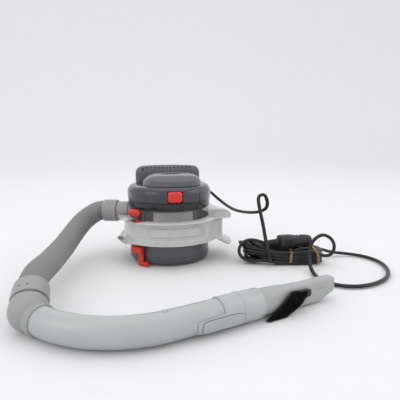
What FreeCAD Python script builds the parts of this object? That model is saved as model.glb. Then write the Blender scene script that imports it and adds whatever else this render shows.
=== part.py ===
"""Cylinder-shaped 12 V handheld vacuum with a wrap-round hose, a rigid curved wand, a crevice nozzle
with a flip brush, and a long lead with a lighter-socket plug.

Frame: +Z up, the vacuum stands on its bottom door at z = 0 with its axis on the Z axis, the release
button faces -Y and the hose leaves to -X. Millimetres. The wand, the lead and the plug lie on the
same surface as the vacuum.
"""
import FreeCAD, Part
import math
import os
import re
import Sketcher

Vector = FreeCAD.Vector
Rotation = FreeCAD.Rotation
Placement = FreeCAD.Placement
UP = Vector(0, 0, 1)
HOME = Vector(0, 0, 0)

SIZES = [
    ("bowl_radius", 72, "outside of the dust bowl"),
    ("bowl_wall", 2.2, "wall of the dust bowl"),
    ("bowl_bottom", 5, "height of the bowl's lower edge"),
    ("bowl_top", 97, "height of the bowl's upper edge"),
    ("rim_height", 5, "height of the bowl's lower rim bead"),
    ("rim_step", 2, "how far the lower rim is set in"),
    ("bowl_mouth", 63, "radius of the bowl's lower opening"),
    ("door_radius", 67, "outside of the bottom door"),
    ("door_thickness", 4.2, "bottom door's plate"),
    ("seal_height", 0.55, "thickness of the door's seal"),
    ("channel_low", 41, "lower lip of the hose channel"),
    ("channel_high", 79, "upper lip of the hose channel"),
    ("channel_lip", 92, "radius of the hose channel's lips"),
    ("channel_root", 81.5, "radius of the hose channel's floor"),
    ("channel_wall", 2, "thickness of the hose channel"),
    ("flare_low", 28, "lower lip of the hose channel at its sides"),
    ("flare_width", 90, "width of the dipped lip"),
    ("horn_reach", 113, "distance of the horn's lips from the axis"),
    ("horn_root", 98, "distance of the horn's floor from the axis"),
    ("horn_width", 76, "width of the horn"),
    ("inlet_height", 83, "height of the inlet's axis"),
    ("inlet_heading", 162, "direction of the inlet, degrees from +X"),
    ("inlet_reach", 99, "end of the inlet port from the axis"),
    ("port_radius", 17, "outside of the inlet port"),
    ("port_bore", 14.5, "inside of the inlet port"),
    ("cuff_radius", 20, "outside of the hose cuff"),
    ("cuff_length", 25, "length of the hose cuff"),
    ("hose_radius", 18, "outside of the hose"),
    ("hose_bore", 15.5, "inside of the hose"),
    ("collar_radius", 22.5, "outside of the swivel collar"),
    ("collar_length", 25, "length of the swivel collar"),
    ("collar_slope", 24, "fall of the swivel collar's axis, degrees"),
    ("collar_heading", -89, "direction of the swivel collar's axis, degrees from +X"),
    ("elbow_radius", 23, "outside of the elbow's dome"),
    ("elbow_reach", 25, "swivel collar's middle to the elbow's middle"),
    ("wand_radius", 17.75, "outside of the wand"),
    ("wand_wall", 1.8, "wall of the wand"),
    ("wand_height", 19.7, "height of the wand's axis"),
    ("wand_bend", 130, "radius of the wand's bend"),
    ("wand_turn", 69, "angle of the wand's bend"),
    ("wand_lead", 22, "straight start of the wand"),
    ("wand_straight", 95, "straight end of the wand"),
    ("wand_heading", 19, "direction of the wand's straight end"),
    ("sleeve_radius", 19.4, "outside of the nozzle's sleeve"),
    ("sleeve_start", 60, "start of the sleeve along the wand"),
    ("sleeve_end", 120, "end of the sleeve along the wand"),
    ("sleeve_stop", 96, "shoulder inside the sleeve"),
    ("tab_start", 30, "start of the latch tab along the wand"),
    ("tab_length", 56, "length of the latch tab"),
    ("tab_height", 15, "height of the latch tab"),
    ("tab_travel", 1.2, "room under the latch tab"),
    ("tip_end", 247, "end of the crevice tip along the wand"),
    ("tip_height", 30, "tall side of the crevice tip"),
    ("tip_width", 17, "narrow side of the crevice tip"),
    ("tip_wall", 2, "wall of the crevice tip"),
    ("tip_slope", 21, "slope of the crevice tip's slanted cut, degrees"),
    ("tip_heel", -5, "where the slanted cut meets the end face, from the wand's axis"),
    ("brush_pivot", 186, "flip brush's pivot along the wand"),
    ("brush_arm", 3, "thickness of the flip brush's arms"),
    ("brush_pin_radius", 1.5, "bore for the flip brush's pin"),
    ("collar_bottom", 98.4, "lower edge of the motor unit's dark collar"),
    ("seam_height", 110, "lower edge of the motor housing"),
    ("housing_top", 136, "roof of the motor housing"),
    ("housing_radius", 74.5, "outside of the motor housing"),
    ("housing_wall", 2.5, "wall of the motor housing"),
    ("shoulder", 14, "radius of the housing's shoulder"),
    ("skirt_radius", 73, "outside of the dark collar"),
    ("spigot_radius", 69.3, "spigot that enters the bowl"),
    ("spigot_depth", 7, "how deep the spigot enters the bowl"),
    ("spigot_wall", 2, "wall of the spigot"),
    ("cap_width", 102, "width of the top cap"),
    ("cap_depth", 78, "depth of the top cap"),
    ("cap_front", -60, "front of the top cap"),
    ("cap_height", 16, "height of the top cap"),
    ("hump_width", 120, "width of the exhaust hump"),
    ("hump_front", 19.5, "front of the exhaust hump"),
    ("hump_top", 163, "top of the exhaust hump"),
    ("vent_pitch", 8, "spacing of the vent holes"),
    ("vent_radius", 1.7, "vent hole"),
    ("button_width", 25.6, "release button's width"),
    ("button_height", 19, "release button's height"),
    ("button_low", 111, "release button's lower edge"),
    ("motor_radius", 18, "outside of the motor can"),
    ("motor_low", 110.6, "lower end of the motor can"),
    ("motor_high", 147, "upper end of the motor can"),
    ("shaft_radius", 1.6, "motor shaft"),
    ("fan_radius", 40, "fan impeller"),
    ("plate_low", 107.6, "underside of the mounting plate"),
    ("plate_thickness", 2.6, "mounting plate"),
    ("screw_circle", 63, "radius of the housing screws' circle"),
    ("screw_radius", 1.4, "housing screw's shank"),
    ("filter_radius", 50, "outside of the pleated filter"),
    ("filter_low", 52, "lower end of the filter"),
    ("filter_high", 95.2, "upper face of the filter's frame"),
    ("shield_width", 58, "width of the flat plate in front of the filter"),
    ("pleat_depth", 9, "depth of the filter's pleats"),
    ("pleat_count", 28, "number of pleats"),
    ("latch_heading", -138, "direction of the door latch, degrees from +X"),
    ("latch_pivot", 60, "height of the door latch's pin"),
    ("latch_inner", 74.4, "inner face of the latch's stem"),
    ("latch_stem", 2.8, "thickness of the latch's stem"),
    ("latch_width", 12, "width of the latch's stem"),
    ("latch_cap_width", 26, "width of the latch's red cap"),
    ("latch_pin_radius", 1, "latch's pin"),
    ("hinge_heading", 42, "direction of the door hinge, degrees from +X"),
    ("hinge_radius", 78, "door hinge's axis from the bowl's axis"),
    ("hinge_height", 10, "height of the door hinge's axis"),
    ("knuckle_radius", 4, "door hinge's knuckle"),
    ("knuckle_width", 19.4, "width of the door's own knuckle"),
    ("ear_width", 6, "width of each hinge ear"),
    ("pin_radius", 1.5, "door hinge pin"),
    ("cord_width", 6.4, "twin lead's width"),
    ("gland_heading", 45, "direction of the cord gland, degrees from +X"),
    ("gland_height", 116, "height of the cord gland"),
    ("gland_length", 26, "tapered length outside the housing"),
    ("plug_radius", 12, "socket plug's grip"),
    ("plug_grip", 32, "length of the plug's grip"),
    ("socket_radius", 10.3, "part of the plug that enters the socket"),
    ("plug_barrel", 20, "length that enters the socket"),
    ("relief_length", 26, "plug's strain relief"),
    ("tip_travel", 3.2, "room behind the plug's sprung tip"),
    ("hank_length", 158, "length of the tied hank"),
    ("hank_depth", 64, "depth of the tied hank"),
    ("hank_height", 24, "height of the tied part of the hank"),
    ("hank_crown", 46, "height of the hank's open end"),
    ("hank_open", 46, "length of the hank's open end"),
    ("running_gap", 0.3, "gap between pieces that move past each other"),
    ("shaft_gap", 0.05, "gap of a shaft or pin in its bore"),
]

doc = FreeCAD.newDocument("handheld_vacuum")
sizes = doc.addObject("Spreadsheet::Sheet", "sizes")
for row, (alias, value, meaning) in enumerate(SIZES, start=1):
    sizes.set(f"A{row}", str(value))
    sizes.setAlias(f"A{row}", alias)
    sizes.set(f"B{row}", meaning)
doc.recompute()

SIZE_NAMES = re.compile(r"\b(" + "|".join(alias for alias, _, _ in SIZES) + r")\b")
nodes = {}


# ------------------------------------------------------------------ small helpers
def mm(alias):
    """A size from the sheet."""
    return float(sizes.get(alias))


def bind(thing, prop, formula):
    """Bind one property to a formula of the sheet's sizes."""
    thing.setExpression(prop, SIZE_NAMES.sub(r"sizes.\1", str(formula)))


def at(x=0, y=0, z=0, direction=UP):
    """A placement at a point, with its Z axis along a direction."""
    return Placement(Vector(x, y, z), Rotation(UP, direction))


def turned_about_z(degrees, x=0, y=0, z=0):
    return Placement(Vector(x, y, z), Rotation(UP, degrees))


def heading(degrees, slope=0):
    """The unit vector at an angle from +X, falling by slope degrees."""
    flat = math.cos(math.radians(slope))
    return Vector(flat * math.cos(math.radians(degrees)), flat * math.sin(math.radians(degrees)),
                  -math.sin(math.radians(slope)))


def solid(kind, label, place=None, **formulas):
    """A Part primitive whose sizes are formulas of the sheet."""
    thing = doc.addObject("Part::" + kind, label)
    for prop, formula in formulas.items():
        bind(thing, prop, formula)
    if place:
        thing.Placement = place
    return thing


def cylinder(label, place, radius, length):
    return solid("Cylinder", label, place, Radius=radius, Height=length)


def block(label, place, length, width, height):
    """A box centred on its placement in X and Y, standing on it in Z."""
    thing = solid("Box", label, Length=length, Width=width, Height=height)
    doc.recompute()
    centre = Placement(Vector(-thing.Length.Value / 2, -thing.Width.Value / 2, 0), Rotation())
    thing.Placement = place.multiply(centre)
    return thing


def fused(label, pieces):
    thing = doc.addObject("Part::MultiFuse", label)
    thing.Shapes = pieces
    return thing


def cut(label, base, tools):
    thing = doc.addObject("Part::Cut", label)
    thing.Base = base
    thing.Tool = tools[0] if len(tools) == 1 else fused(label + "_tools", tools)
    return thing


def common(label, first, second):
    thing = doc.addObject("Part::Common", label)
    thing.Base = first
    thing.Tool = second
    return thing


def rounded(label, base, choose, radius):
    """Fillet the edges of a piece that a test chooses."""
    doc.recompute()
    edges = [(number, radius, radius) for number, edge in enumerate(base.Shape.Edges, start=1) if choose(edge)]
    thing = doc.addObject("Part::Fillet", label)
    thing.Base = base
    thing.Edges = edges
    return thing


def outline_body(label, outline, plane):
    """A body with one sketch whose corners are pairs of formulas on an origin plane."""
    body = doc.addObject("PartDesign::Body", label)
    sketch = body.newObject("Sketcher::SketchObject", label + "_outline")
    sketch.AttachmentSupport = [(feature, "") for feature in body.Origin.OriginFeatures if feature.Role == plane]
    sketch.MapMode = "FlatFace"
    scratch = [(evaluate(x), evaluate(y)) for x, y in outline]
    count = len(outline)
    for start in range(count):
        end = (start + 1) % count
        sketch.addGeometry(Part.LineSegment(Vector(*scratch[start], 0), Vector(*scratch[end], 0)), False)
    for start in range(count):
        sketch.addConstraint(Sketcher.Constraint("Coincident", start, 2, (start + 1) % count, 1))
    for corner, formulas in enumerate(outline):
        for kind, value, formula in zip(("DistanceX", "DistanceY"), scratch[corner], formulas):
            number = sketch.addConstraint(Sketcher.Constraint(kind, -1, 1, corner, 1, value))
            if formula != "0":
                bind(sketch, f"Constraints[{number}]", formula)
    return body, sketch


def evaluate(formula):
    """The value of a formula of the sheet's sizes, worked out by the sheet."""
    return sizes.evalExpression(str(formula)) * 1.0


def turned(label, outline):
    """A body turned about the Z axis; the outline is (radius, height) formulas."""
    body, sketch = outline_body(label, outline, "XZ_Plane")
    feature = body.newObject("PartDesign::Revolution", label + "_turn")
    feature.Profile = sketch
    feature.ReferenceAxis = (sketch, ["V_Axis"])
    feature.Angle = 360
    body.Tip = feature
    return body


def padded(label, outline, length, plane="XY_Plane", midplane=False):
    """A body padded from an outline on an origin plane."""
    body, sketch = outline_body(label, outline, plane)
    feature = body.newObject("PartDesign::Pad", label + "_pad")
    feature.Profile = sketch
    feature.Midplane = midplane
    bind(feature, "Length", length)
    body.Tip = feature
    return body


def ring(label, inner, outer, low, high):
    """A plain ring about the Z axis."""
    return turned(label, [(inner, low), (outer, low), (outer, high), (inner, high)])


def node(name, thing, place=None):
    """Give a finished piece its own name, and its place if it was made in a frame of its own."""
    if place:
        thing.Placement = place.multiply(thing.Placement)
    thing.Label = name
    nodes[name] = thing
    return thing


# ------------------------------------------------------------------ dust bowl side
INLET = Placement(Vector(0, 0, mm("inlet_height")), Rotation(UP, heading(mm("inlet_heading"))))
LATCH = turned_about_z(mm("latch_heading"))
HINGE = turned_about_z(mm("hinge_heading"))
SIDEWAYS = Vector(0, 1, 0)


def along(place, distance):
    """The same placement moved along its own Z axis."""
    return place.multiply(Placement(Vector(0, 0, distance), Rotation()))


def make_bowl():
    """Clear round bowl with a set-in lower rim, a hole for the inlet port and ears for both pins."""
    rim = "bowl_bottom + rim_height"
    shell = turned("bowl_shell", [
        ("bowl_mouth", "bowl_bottom"), ("bowl_radius - rim_step", "bowl_bottom"),
        ("bowl_radius - rim_step", rim), ("bowl_radius", rim), ("bowl_radius", "bowl_top"),
        ("bowl_radius - bowl_wall", "bowl_top"), ("bowl_radius - bowl_wall", rim + " + bowl_wall"),
        ("bowl_mouth", rim)])
    hole = cylinder("bowl_inlet_hole", along(INLET, mm("bowl_radius") - 12), "port_radius + shaft_gap", 24)
    ears = []
    ear_gap = mm("latch_width") / 2 + mm("running_gap")
    hinge_gap = mm("knuckle_width") / 2 + mm("running_gap")
    stem_middle = mm("latch_inner") + mm("latch_stem") / 2
    for side in (-1, 1):
        ear_place = LATCH.multiply(at(mm("bowl_radius") + 2.8, side * (ear_gap + 1.1), mm("latch_pivot") - 3))
        ears.append(block("latch_ear", ear_place, 6.8, 2.2, 6))
        middle = side * (hinge_gap + mm("ear_width") / 2)
        web_place = HINGE.multiply(at(mm("hinge_radius") - 4, middle, mm("hinge_height") - 2))
        ears.append(block("hinge_web", web_place, 9.6, "ear_width", 12))
        ear_end = HINGE.multiply(Placement(Vector(mm("hinge_radius"), middle + mm("ear_width") / 2,
                                                  mm("hinge_height")), Rotation(UP, -SIDEWAYS)))
        ears.append(cylinder("hinge_ear", ear_end, "knuckle_radius", "ear_width"))
    latch_axis = LATCH.multiply(Placement(Vector(stem_middle, -ear_gap - 4, mm("latch_pivot")),
                                          Rotation(UP, SIDEWAYS)))
    hinge_axis = HINGE.multiply(Placement(Vector(mm("hinge_radius"), -hinge_gap - 10, mm("hinge_height")),
                                          Rotation(UP, SIDEWAYS)))
    latch_span = 2 * (ear_gap + 4)
    hinge_span = 2 * (hinge_gap + 10)
    eared = fused("bowl_with_ears", [shell] + ears)
    node("dust_bowl", cut("bowl_cut", eared, [
        hole, cylinder("latch_bore", latch_axis, "latch_pin_radius", latch_span),
        cylinder("hinge_bore", hinge_axis, "pin_radius", hinge_span)]))
    node("door_hinge_pin", cylinder("hinge_rod", along(hinge_axis, 3.5), "pin_radius", hinge_span - 7))
    node("latch_pin", cylinder("latch_rod", along(latch_axis, 1.5), "latch_pin_radius", latch_span - 3))
    seal = ring("seal_ring", "bowl_radius - bowl_wall", "bowl_radius", "bowl_top", "bowl_top + 1.1")
    seal_notch = cylinder("seal_notch", along(INLET, mm("bowl_radius") - 12), "port_radius + shaft_gap", 24)
    node("bowl_seal", cut("seal_cut", seal, [seal_notch]))


def make_hose_channel():
    """Band round the bowl with an open groove that the hose wraps into; the right side reaches out."""
    inner = "bowl_radius + shaft_gap"
    low_top = "channel_low + channel_wall"
    high_bottom = "channel_high - channel_wall"
    back = "channel_root - channel_wall"
    groove = turned("channel_ring", [
        (inner, "channel_low"), ("channel_lip", "channel_low"), ("channel_lip", low_top),
        ("channel_root", low_top), ("channel_root", high_bottom), ("channel_lip", high_bottom),
        ("channel_lip", "channel_high"), (inner, "channel_high"), (inner, high_bottom),
        (back, high_bottom), (back, low_top), (inner, low_top)])
    skirt = turned("flare_ring", [
        ("channel_root", low_top), ("channel_root", "channel_low"), ("channel_lip - channel_wall", "flare_low"),
        ("channel_lip", "flare_low"), ("channel_root + channel_wall", low_top)])
    flare = common("flare", skirt, block("flare_zone", at(), 300, "flare_width", 100))
    horn_section = [
        ("channel_root", "channel_high"), ("horn_reach", "channel_high"), ("horn_reach", high_bottom),
        ("horn_root + 2", high_bottom + " - 3"), ("horn_root", "channel_high - 14"),
        ("horn_root", "flare_low + 20"), ("horn_root + 3", "flare_low + 11"), ("horn_reach", "flare_low"),
        ("horn_reach - 2", "flare_low - 1"), ("horn_root + 0.5", "flare_low + 10"),
        ("horn_root - channel_wall", "flare_low + 20"), ("horn_root - channel_wall", "channel_high - 14"),
        ("horn_root - 0.5", high_bottom), ("channel_root", high_bottom)]
    horn_bar = padded("horn_bar", horn_section, "horn_width", plane="XZ_Plane", midplane=True)
    horn_bar.Placement = turned_about_z(-8)
    horn = common("horn", horn_bar, cylinder("horn_zone", at(z=0), "horn_reach + 1", 120))
    band = fused("channel_band", [groove, flare, horn])
    slot_place = LATCH.multiply(at(mm("bowl_radius") + 3.7, 0, 20))
    slot = block("latch_slot", slot_place, 8, "latch_width + 8", 80)
    cap_room = block("latch_cap_room", LATCH.multiply(at(mm("channel_lip") - 12, -6, mm("channel_high") - 3)),
                     24, "latch_cap_width + 4", 20)
    inlet_room = cylinder("inlet_room", along(INLET, mm("bowl_radius") - 4), "cuff_radius + 1", 60)
    node("hose_channel", cut("channel_cut", band, [slot, cap_room, inlet_room]))


def make_inlet():
    """Inlet port glued into the bowl, and the cuff that joins the hose to it."""
    port = cylinder("port_outside", along(INLET, mm("bowl_radius") - 14), "port_radius",
                    "inlet_reach - bowl_radius + 14")
    bore = cylinder("port_inside", along(INLET, mm("bowl_radius") - 16), "port_bore",
                    "inlet_reach - bowl_radius + 20")
    node("inlet_port", cut("port_cut", port, [bore]))
    start = along(INLET, mm("inlet_reach") - 3)
    cuff = cylinder("cuff_outside", start, "cuff_radius", "cuff_length")
    seat = cylinder("cuff_port_seat", along(start, -1), "port_radius", 4.2)
    passage = cylinder("cuff_passage", along(start, 2), "port_bore", 14)
    mouth = cylinder("cuff_hose_seat", along(start, mm("cuff_length") / 2 + 2), "hose_radius", "cuff_length")
    node("hose_cuff", cut("cuff_cut", cuff, [seat, passage, mouth]))


# ------------------------------------------------------------------ routes of the hose and the lead
def tangent_path(points):
    """Straight runs joined by tangent arcs, each as large as 0.45 of its shorter run allows."""
    edges = []
    radii = []
    start = points[0]
    for before, corner, after in zip(points, points[1:], points[2:]):
        back = (before - corner)
        ahead = (after - corner)
        half_turn = (math.pi - back.getAngle(ahead)) / 2
        reach = 0.45 * min(back.Length, ahead.Length)
        radii.append(reach / math.tan(half_turn))
        back.normalize()
        ahead.normalize()
        entry = corner + back * reach
        leave = corner + ahead * reach
        inward = (back + ahead).normalize()
        crown = corner + inward * (reach / math.sin(half_turn) * (1 / math.cos(half_turn) - 1)
                                   * math.cos(half_turn))
        edges.append(Part.LineSegment(start, entry).toShape())
        edges.append(Part.Arc(entry, crown, leave).toShape())
        start = leave
    edges.append(Part.LineSegment(start, points[-1]).toShape())
    return Part.Wire(edges), radii


def route_tube(name, points, outside, inside=None):
    """A round tube along a route, with its tightest bend and its volume printed."""
    path, radii = tangent_path(points)
    first = (points[1] - points[0]).normalize()

    def swept(radius):
        section = Part.Wire(Part.Circle(points[0], first, radius).toShape())
        return path.makePipeShell([section], True, False)

    tube = swept(outside)
    area = math.pi * outside ** 2
    share = tube.Volume / (area * path.Length)
    print(f"{name}: length {path.Length:.1f}, radii {[round(radius, 1) for radius in radii]}, "
          f"volume/section {share:.4f}, lowest {tube.BoundBox.ZMin:.2f}")
    if inside:
        tube = tube.cut(swept(inside))
    thing = doc.addObject("Part::Feature", name + "_tube")
    thing.Shape = tube
    return node(name, thing)


COLLAR_AXIS = heading(mm("collar_heading"), mm("collar_slope"))
WAND = turned_about_z(mm("wand_heading"), -44.4, -329.4, mm("wand_height"))


def wand_start():
    """Where the wand's bend starts and the direction back from there, in the wand's own frame."""
    turn = math.radians(mm("wand_turn"))
    bend = mm("wand_bend")
    return Vector(-bend * math.sin(turn), bend * (1 - math.cos(turn)), 0), Vector(-math.cos(turn), math.sin(turn), 0)


def elbow_middle():
    """Middle of the elbow's dome, behind the wand's start and just clear of the floor."""
    start, back = wand_start()
    point = WAND.multVec(start + back * (mm("wand_lead") + 6))
    point.z = mm("elbow_radius") + 0.3
    return point


ELBOW = elbow_middle()
COLLAR = Placement(ELBOW - COLLAR_AXIS * mm("elbow_reach"), Rotation(UP, COLLAR_AXIS))


def make_hose():
    """The hose, from the cuff's seat to the swivel collar's seat."""
    points = [along(INLET, mm("inlet_reach") + 14).Base, along(INLET, mm("inlet_reach") + 33).Base]
    points += [Vector(-148.5, 32, 71), Vector(-164, 8, 58), Vector(-173.5, -24, 49.5), Vector(-181, -60, 44.5),
               Vector(-188.5, -101, 42.5), Vector(-195, -147, 43), Vector(-202, -193, 46)]
    points += [along(COLLAR, -26).Base, along(COLLAR, -4).Base]
    route_tube("hose", points, mm("hose_radius"), mm("hose_bore"))


def make_collar():
    """Ring fixed to the hose's end, in which the elbow's neck swivels."""
    front = 10
    outside = cylinder("collar_outside", along(COLLAR, front - mm("collar_length")), "collar_radius",
                       "collar_length")
    hose_seat = cylinder("collar_hose_seat", along(COLLAR, -4 - mm("collar_length")), "hose_radius",
                         "collar_length")
    neck_bore = cylinder("collar_neck_bore", along(COLLAR, -4), "hose_radius + running_gap", "collar_length")
    pips = []
    for side in (-1, 1):
        spot = COLLAR.multiply(Placement(Vector(side * 7, -mm("collar_radius") + 1.6, 1),
                                         Rotation(UP, Vector(0, -1, 0))))
        pips.append(cylinder("collar_pip", spot, 1.2, 1.6))
    ring_cut = cut("collar_ring", outside, [hose_seat, neck_bore])
    node("swivel_collar", fused("collar_with_pips", [ring_cut] + pips))


# ------------------------------------------------------------------ wand, nozzle and flip brush
ALONG_X = Rotation(UP, Vector(1, 0, 0))


def wand_bar(label, radius, extra):
    """The wand's outline: a straight start, a bend and a straight end, in the wand's own frame."""
    start, back = wand_start()
    lead = cylinder(label + "_lead", Placement(start, Rotation(UP, back)), radius, f"wand_lead + {extra}")
    bend_place = Placement(Vector(0, mm("wand_bend"), 0), Rotation(UP, -90 - mm("wand_turn")))
    bend = solid("Torus", label + "_bend", bend_place, Radius1="wand_bend", Radius2=radius, Angle3="wand_turn")
    straight = cylinder(label + "_straight", Placement(HOME, ALONG_X), radius, f"wand_straight + {extra}")
    return fused(label, [lead, bend, straight])


def make_wand():
    outside = wand_bar("wand_outside", "wand_radius", 0)
    inside = wand_bar("wand_inside", "wand_radius - wand_wall", 1)
    nub = cylinder("wand_nub", Placement(Vector(-8, 0, mm("wand_radius") - 1), Rotation()), 3, 2.6)
    hollow = cut("wand_hollow", fused("wand_with_nub", [outside, nub]), [inside])
    node("wand_tube", hollow, WAND)
    start, back = wand_start()
    dome = solid("Sphere", "elbow_dome", Placement(ELBOW, Rotation()), Radius="elbow_radius")
    neck = cylinder("elbow_neck", along(COLLAR, -3.6), "hose_radius", "elbow_reach + 3.6")
    middle = WAND.multVec(start + back * (mm("wand_lead") + 0.2))
    ahead = Rotation(UP, WAND.Rotation.multVec(-back))
    hub = cylinder("elbow_hub", Placement(middle, ahead), "wand_radius + 1.6", 8)
    socket = cylinder("elbow_socket", Placement(middle, ahead), "wand_radius + shaft_gap", 60)
    neck_bore = cylinder("elbow_neck_bore", along(COLLAR, -6), "hose_bore", "elbow_reach + 6")
    bowl = solid("Sphere", "elbow_hollow", Placement(ELBOW, Rotation()), Radius="hose_bore")
    link = cylinder("elbow_link", Placement(WAND.multVec(start + back * (mm("wand_lead") + 8)), ahead),
                    "wand_radius - wand_wall - 1", 30)
    node("wand_elbow", cut("elbow_cut", fused("elbow_body", [dome, neck, hub]), [socket, neck_bore, bowl, link]))


def rounded_section(x, width, height, radius, z_middle):
    """A rounded rectangle across the wand's axis."""
    half_width, half_height = width / 2 - radius, height / 2 - radius
    edges = []
    quarter = math.pi / 2
    corners = [(half_width, half_height, 0), (-half_width, half_height, 1), (-half_width, -half_height, 2),
               (half_width, -half_height, 3)]

    def point(corner, angle):
        centre_y, centre_z, _ = corner
        return Vector(x, centre_y + radius * math.cos(angle), z_middle + centre_z + radius * math.sin(angle))

    for number, corner in enumerate(corners):
        following = corners[(number + 1) % 4]
        start, end = corner[2] * quarter, (corner[2] + 1) * quarter
        edges.append(Part.Arc(point(corner, start), point(corner, (start + end) / 2), point(corner, end)).toShape())
        edges.append(Part.LineSegment(point(corner, end), point(following, end)).toShape())
    return Part.Wire(edges)


def lofted(label, sections, shrink=0):
    """A loft through rounded sections, each (x, width, height, radius, middle height), shrunk all round."""
    wires = [rounded_section(x, width - 2 * shrink, height - 2 * shrink, max(radius - shrink, 0.8), middle)
             for x, width, height, radius, middle in sections]
    thing = doc.addObject("Part::Feature", label)
    thing.Shape = Part.makeLoft(wires, True, True)
    return thing


def make_nozzle():
    """Sleeve that pushes over the wand, with a tongue for the latch tab, and the slant-cut crevice tip."""
    radius = "sleeve_radius"
    body = cylinder("sleeve_outside", Placement(Vector(mm("sleeve_start"), 0, 0), ALONG_X), radius,
                    "sleeve_end - sleeve_start")
    tongue_bar = cylinder("tongue_bar", Placement(Vector(mm("tab_start") - 4, 0, 0), ALONG_X), radius,
                          "sleeve_start - tab_start + 6")
    tongue_zone = block("tongue_zone", at(mm("tab_start") + 20, -14, -16), 60, 20, "tab_height + 5")
    tongue = common("tongue", tongue_bar, tongue_zone)
    wand_room = cylinder("sleeve_wand_room", Placement(Vector(0, 0, 0), ALONG_X),
                         "wand_radius + running_gap", "sleeve_stop")
    passage = cylinder("sleeve_passage", Placement(Vector(0, 0, 0), ALONG_X), "wand_radius - 3", 400)
    tab_room = block("tab_room", at(mm("tab_start") + mm("tab_length") / 2, -mm("sleeve_radius"), -12.4),
                     "tab_length + 0.8", 14, "tab_height + 0.8")
    node("nozzle_sleeve", cut("sleeve_cut", fused("sleeve_body", [body, tongue]), [wand_room, passage, tab_room]),
         WAND)
    tab_bar = cylinder("tab_bar", Placement(Vector(mm("tab_start"), 0, 0), ALONG_X), "sleeve_radius + 1.2",
                       "tab_length")
    tab_zone = block("tab_zone", at(mm("tab_start") + mm("tab_length") / 2, -mm("sleeve_radius"), -12),
                     "tab_length", 13.2, "tab_height")
    tab_under = cylinder("tab_under", Placement(HOME, ALONG_X), "wand_radius + tab_travel", 400)
    node("nozzle_latch", cut("tab_cut", common("tab", tab_bar, tab_zone), [tab_under]), WAND)
    start, end = mm("sleeve_end"), mm("tip_end")
    drop = mm("tip_height") / 2 - mm("wand_height") + 2.6
    middle_x = start + 70
    sections = [
        (start, 34, 34, 16.8, 0), (start + 22, 28, 33, 11, 0), (middle_x, mm("tip_width") + 3, mm("tip_height"), 6, drop),
        (end, mm("tip_width"), mm("tip_height"), 5, drop)]
    tip = lofted("tip_outside", sections)
    hollow_sections = [(sections[0][0] - 0.2, *sections[0][1:])] + sections[1:-1] + [(end + 1, *sections[-1][1:])]
    hollow = lofted("tip_inside", hollow_sections, mm("tip_wall"))
    slope = Rotation(SIDEWAYS, -mm("tip_slope"))
    slant = block("tip_slant", Placement(Vector(end, 0, mm("tip_heel")), slope).multiply(at(z=-40)), 90, 60, 40)
    pivot_bore = cylinder("tip_pivot_bore", Placement(Vector(mm("brush_pivot"), 30, 6), Rotation(UP, -SIDEWAYS)),
                          "brush_pin_radius", 60)
    node("crevice_tip", cut("tip_cut", tip, [hollow, slant, pivot_bore]), WAND)


def brush_slab(label, side, offset, thickness):
    """One side of the swept-back bristles: a slanting slab beside the tip."""
    root = mm("brush_pivot")
    outline = [(root - 14, 9), (root + 12, 9), (root + 8, -1), (root + 2, -9), (root - 24, -18.6),
               (root - 52, -18.9), (root - 57, -17), (root - 40, -9), (root - 22, 1)]
    bar = padded(label, [(str(x), str(z)) for x, z in outline], thickness, plane="XZ_Plane", midplane=True)
    bar.Placement = Placement(Vector(0, side * offset, 0), Rotation())
    return bar


def make_brush():
    """Flip brush: an arm on each side of the tip, both on one pin, with bristles outside them."""
    width = mm("tip_width") / 2 + 4
    arm = mm("brush_arm")
    pivot_height = 6
    pieces = []
    for side in (-1, 1):
        place = at(mm("brush_pivot"), side * (width + arm / 2), -1)
        pieces.append(block("brush_arm_bar", place, 27, "brush_arm", 17.6))
    reach = width + arm + 1
    pin_place = Placement(Vector(mm("brush_pivot"), reach, pivot_height), Rotation(UP, -SIDEWAYS))
    bore = cylinder("brush_bore", pin_place, "brush_pin_radius", 2 * reach)
    node("brush_holder", cut("brush_frame", fused("brush_arms", pieces), [bore]), WAND)
    node("brush_pin", cylinder("brush_rod", along(pin_place, 1), "brush_pin_radius - shaft_gap", 2 * reach - 2), WAND)
    slabs = [brush_slab("bristles_near", -1, width + arm + 2.6, "4.8"),
             brush_slab("bristles_far", 1, width + arm + 2.6, "4.8")]
    node("brush_bristles", fused("bristles", slabs), WAND)


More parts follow.
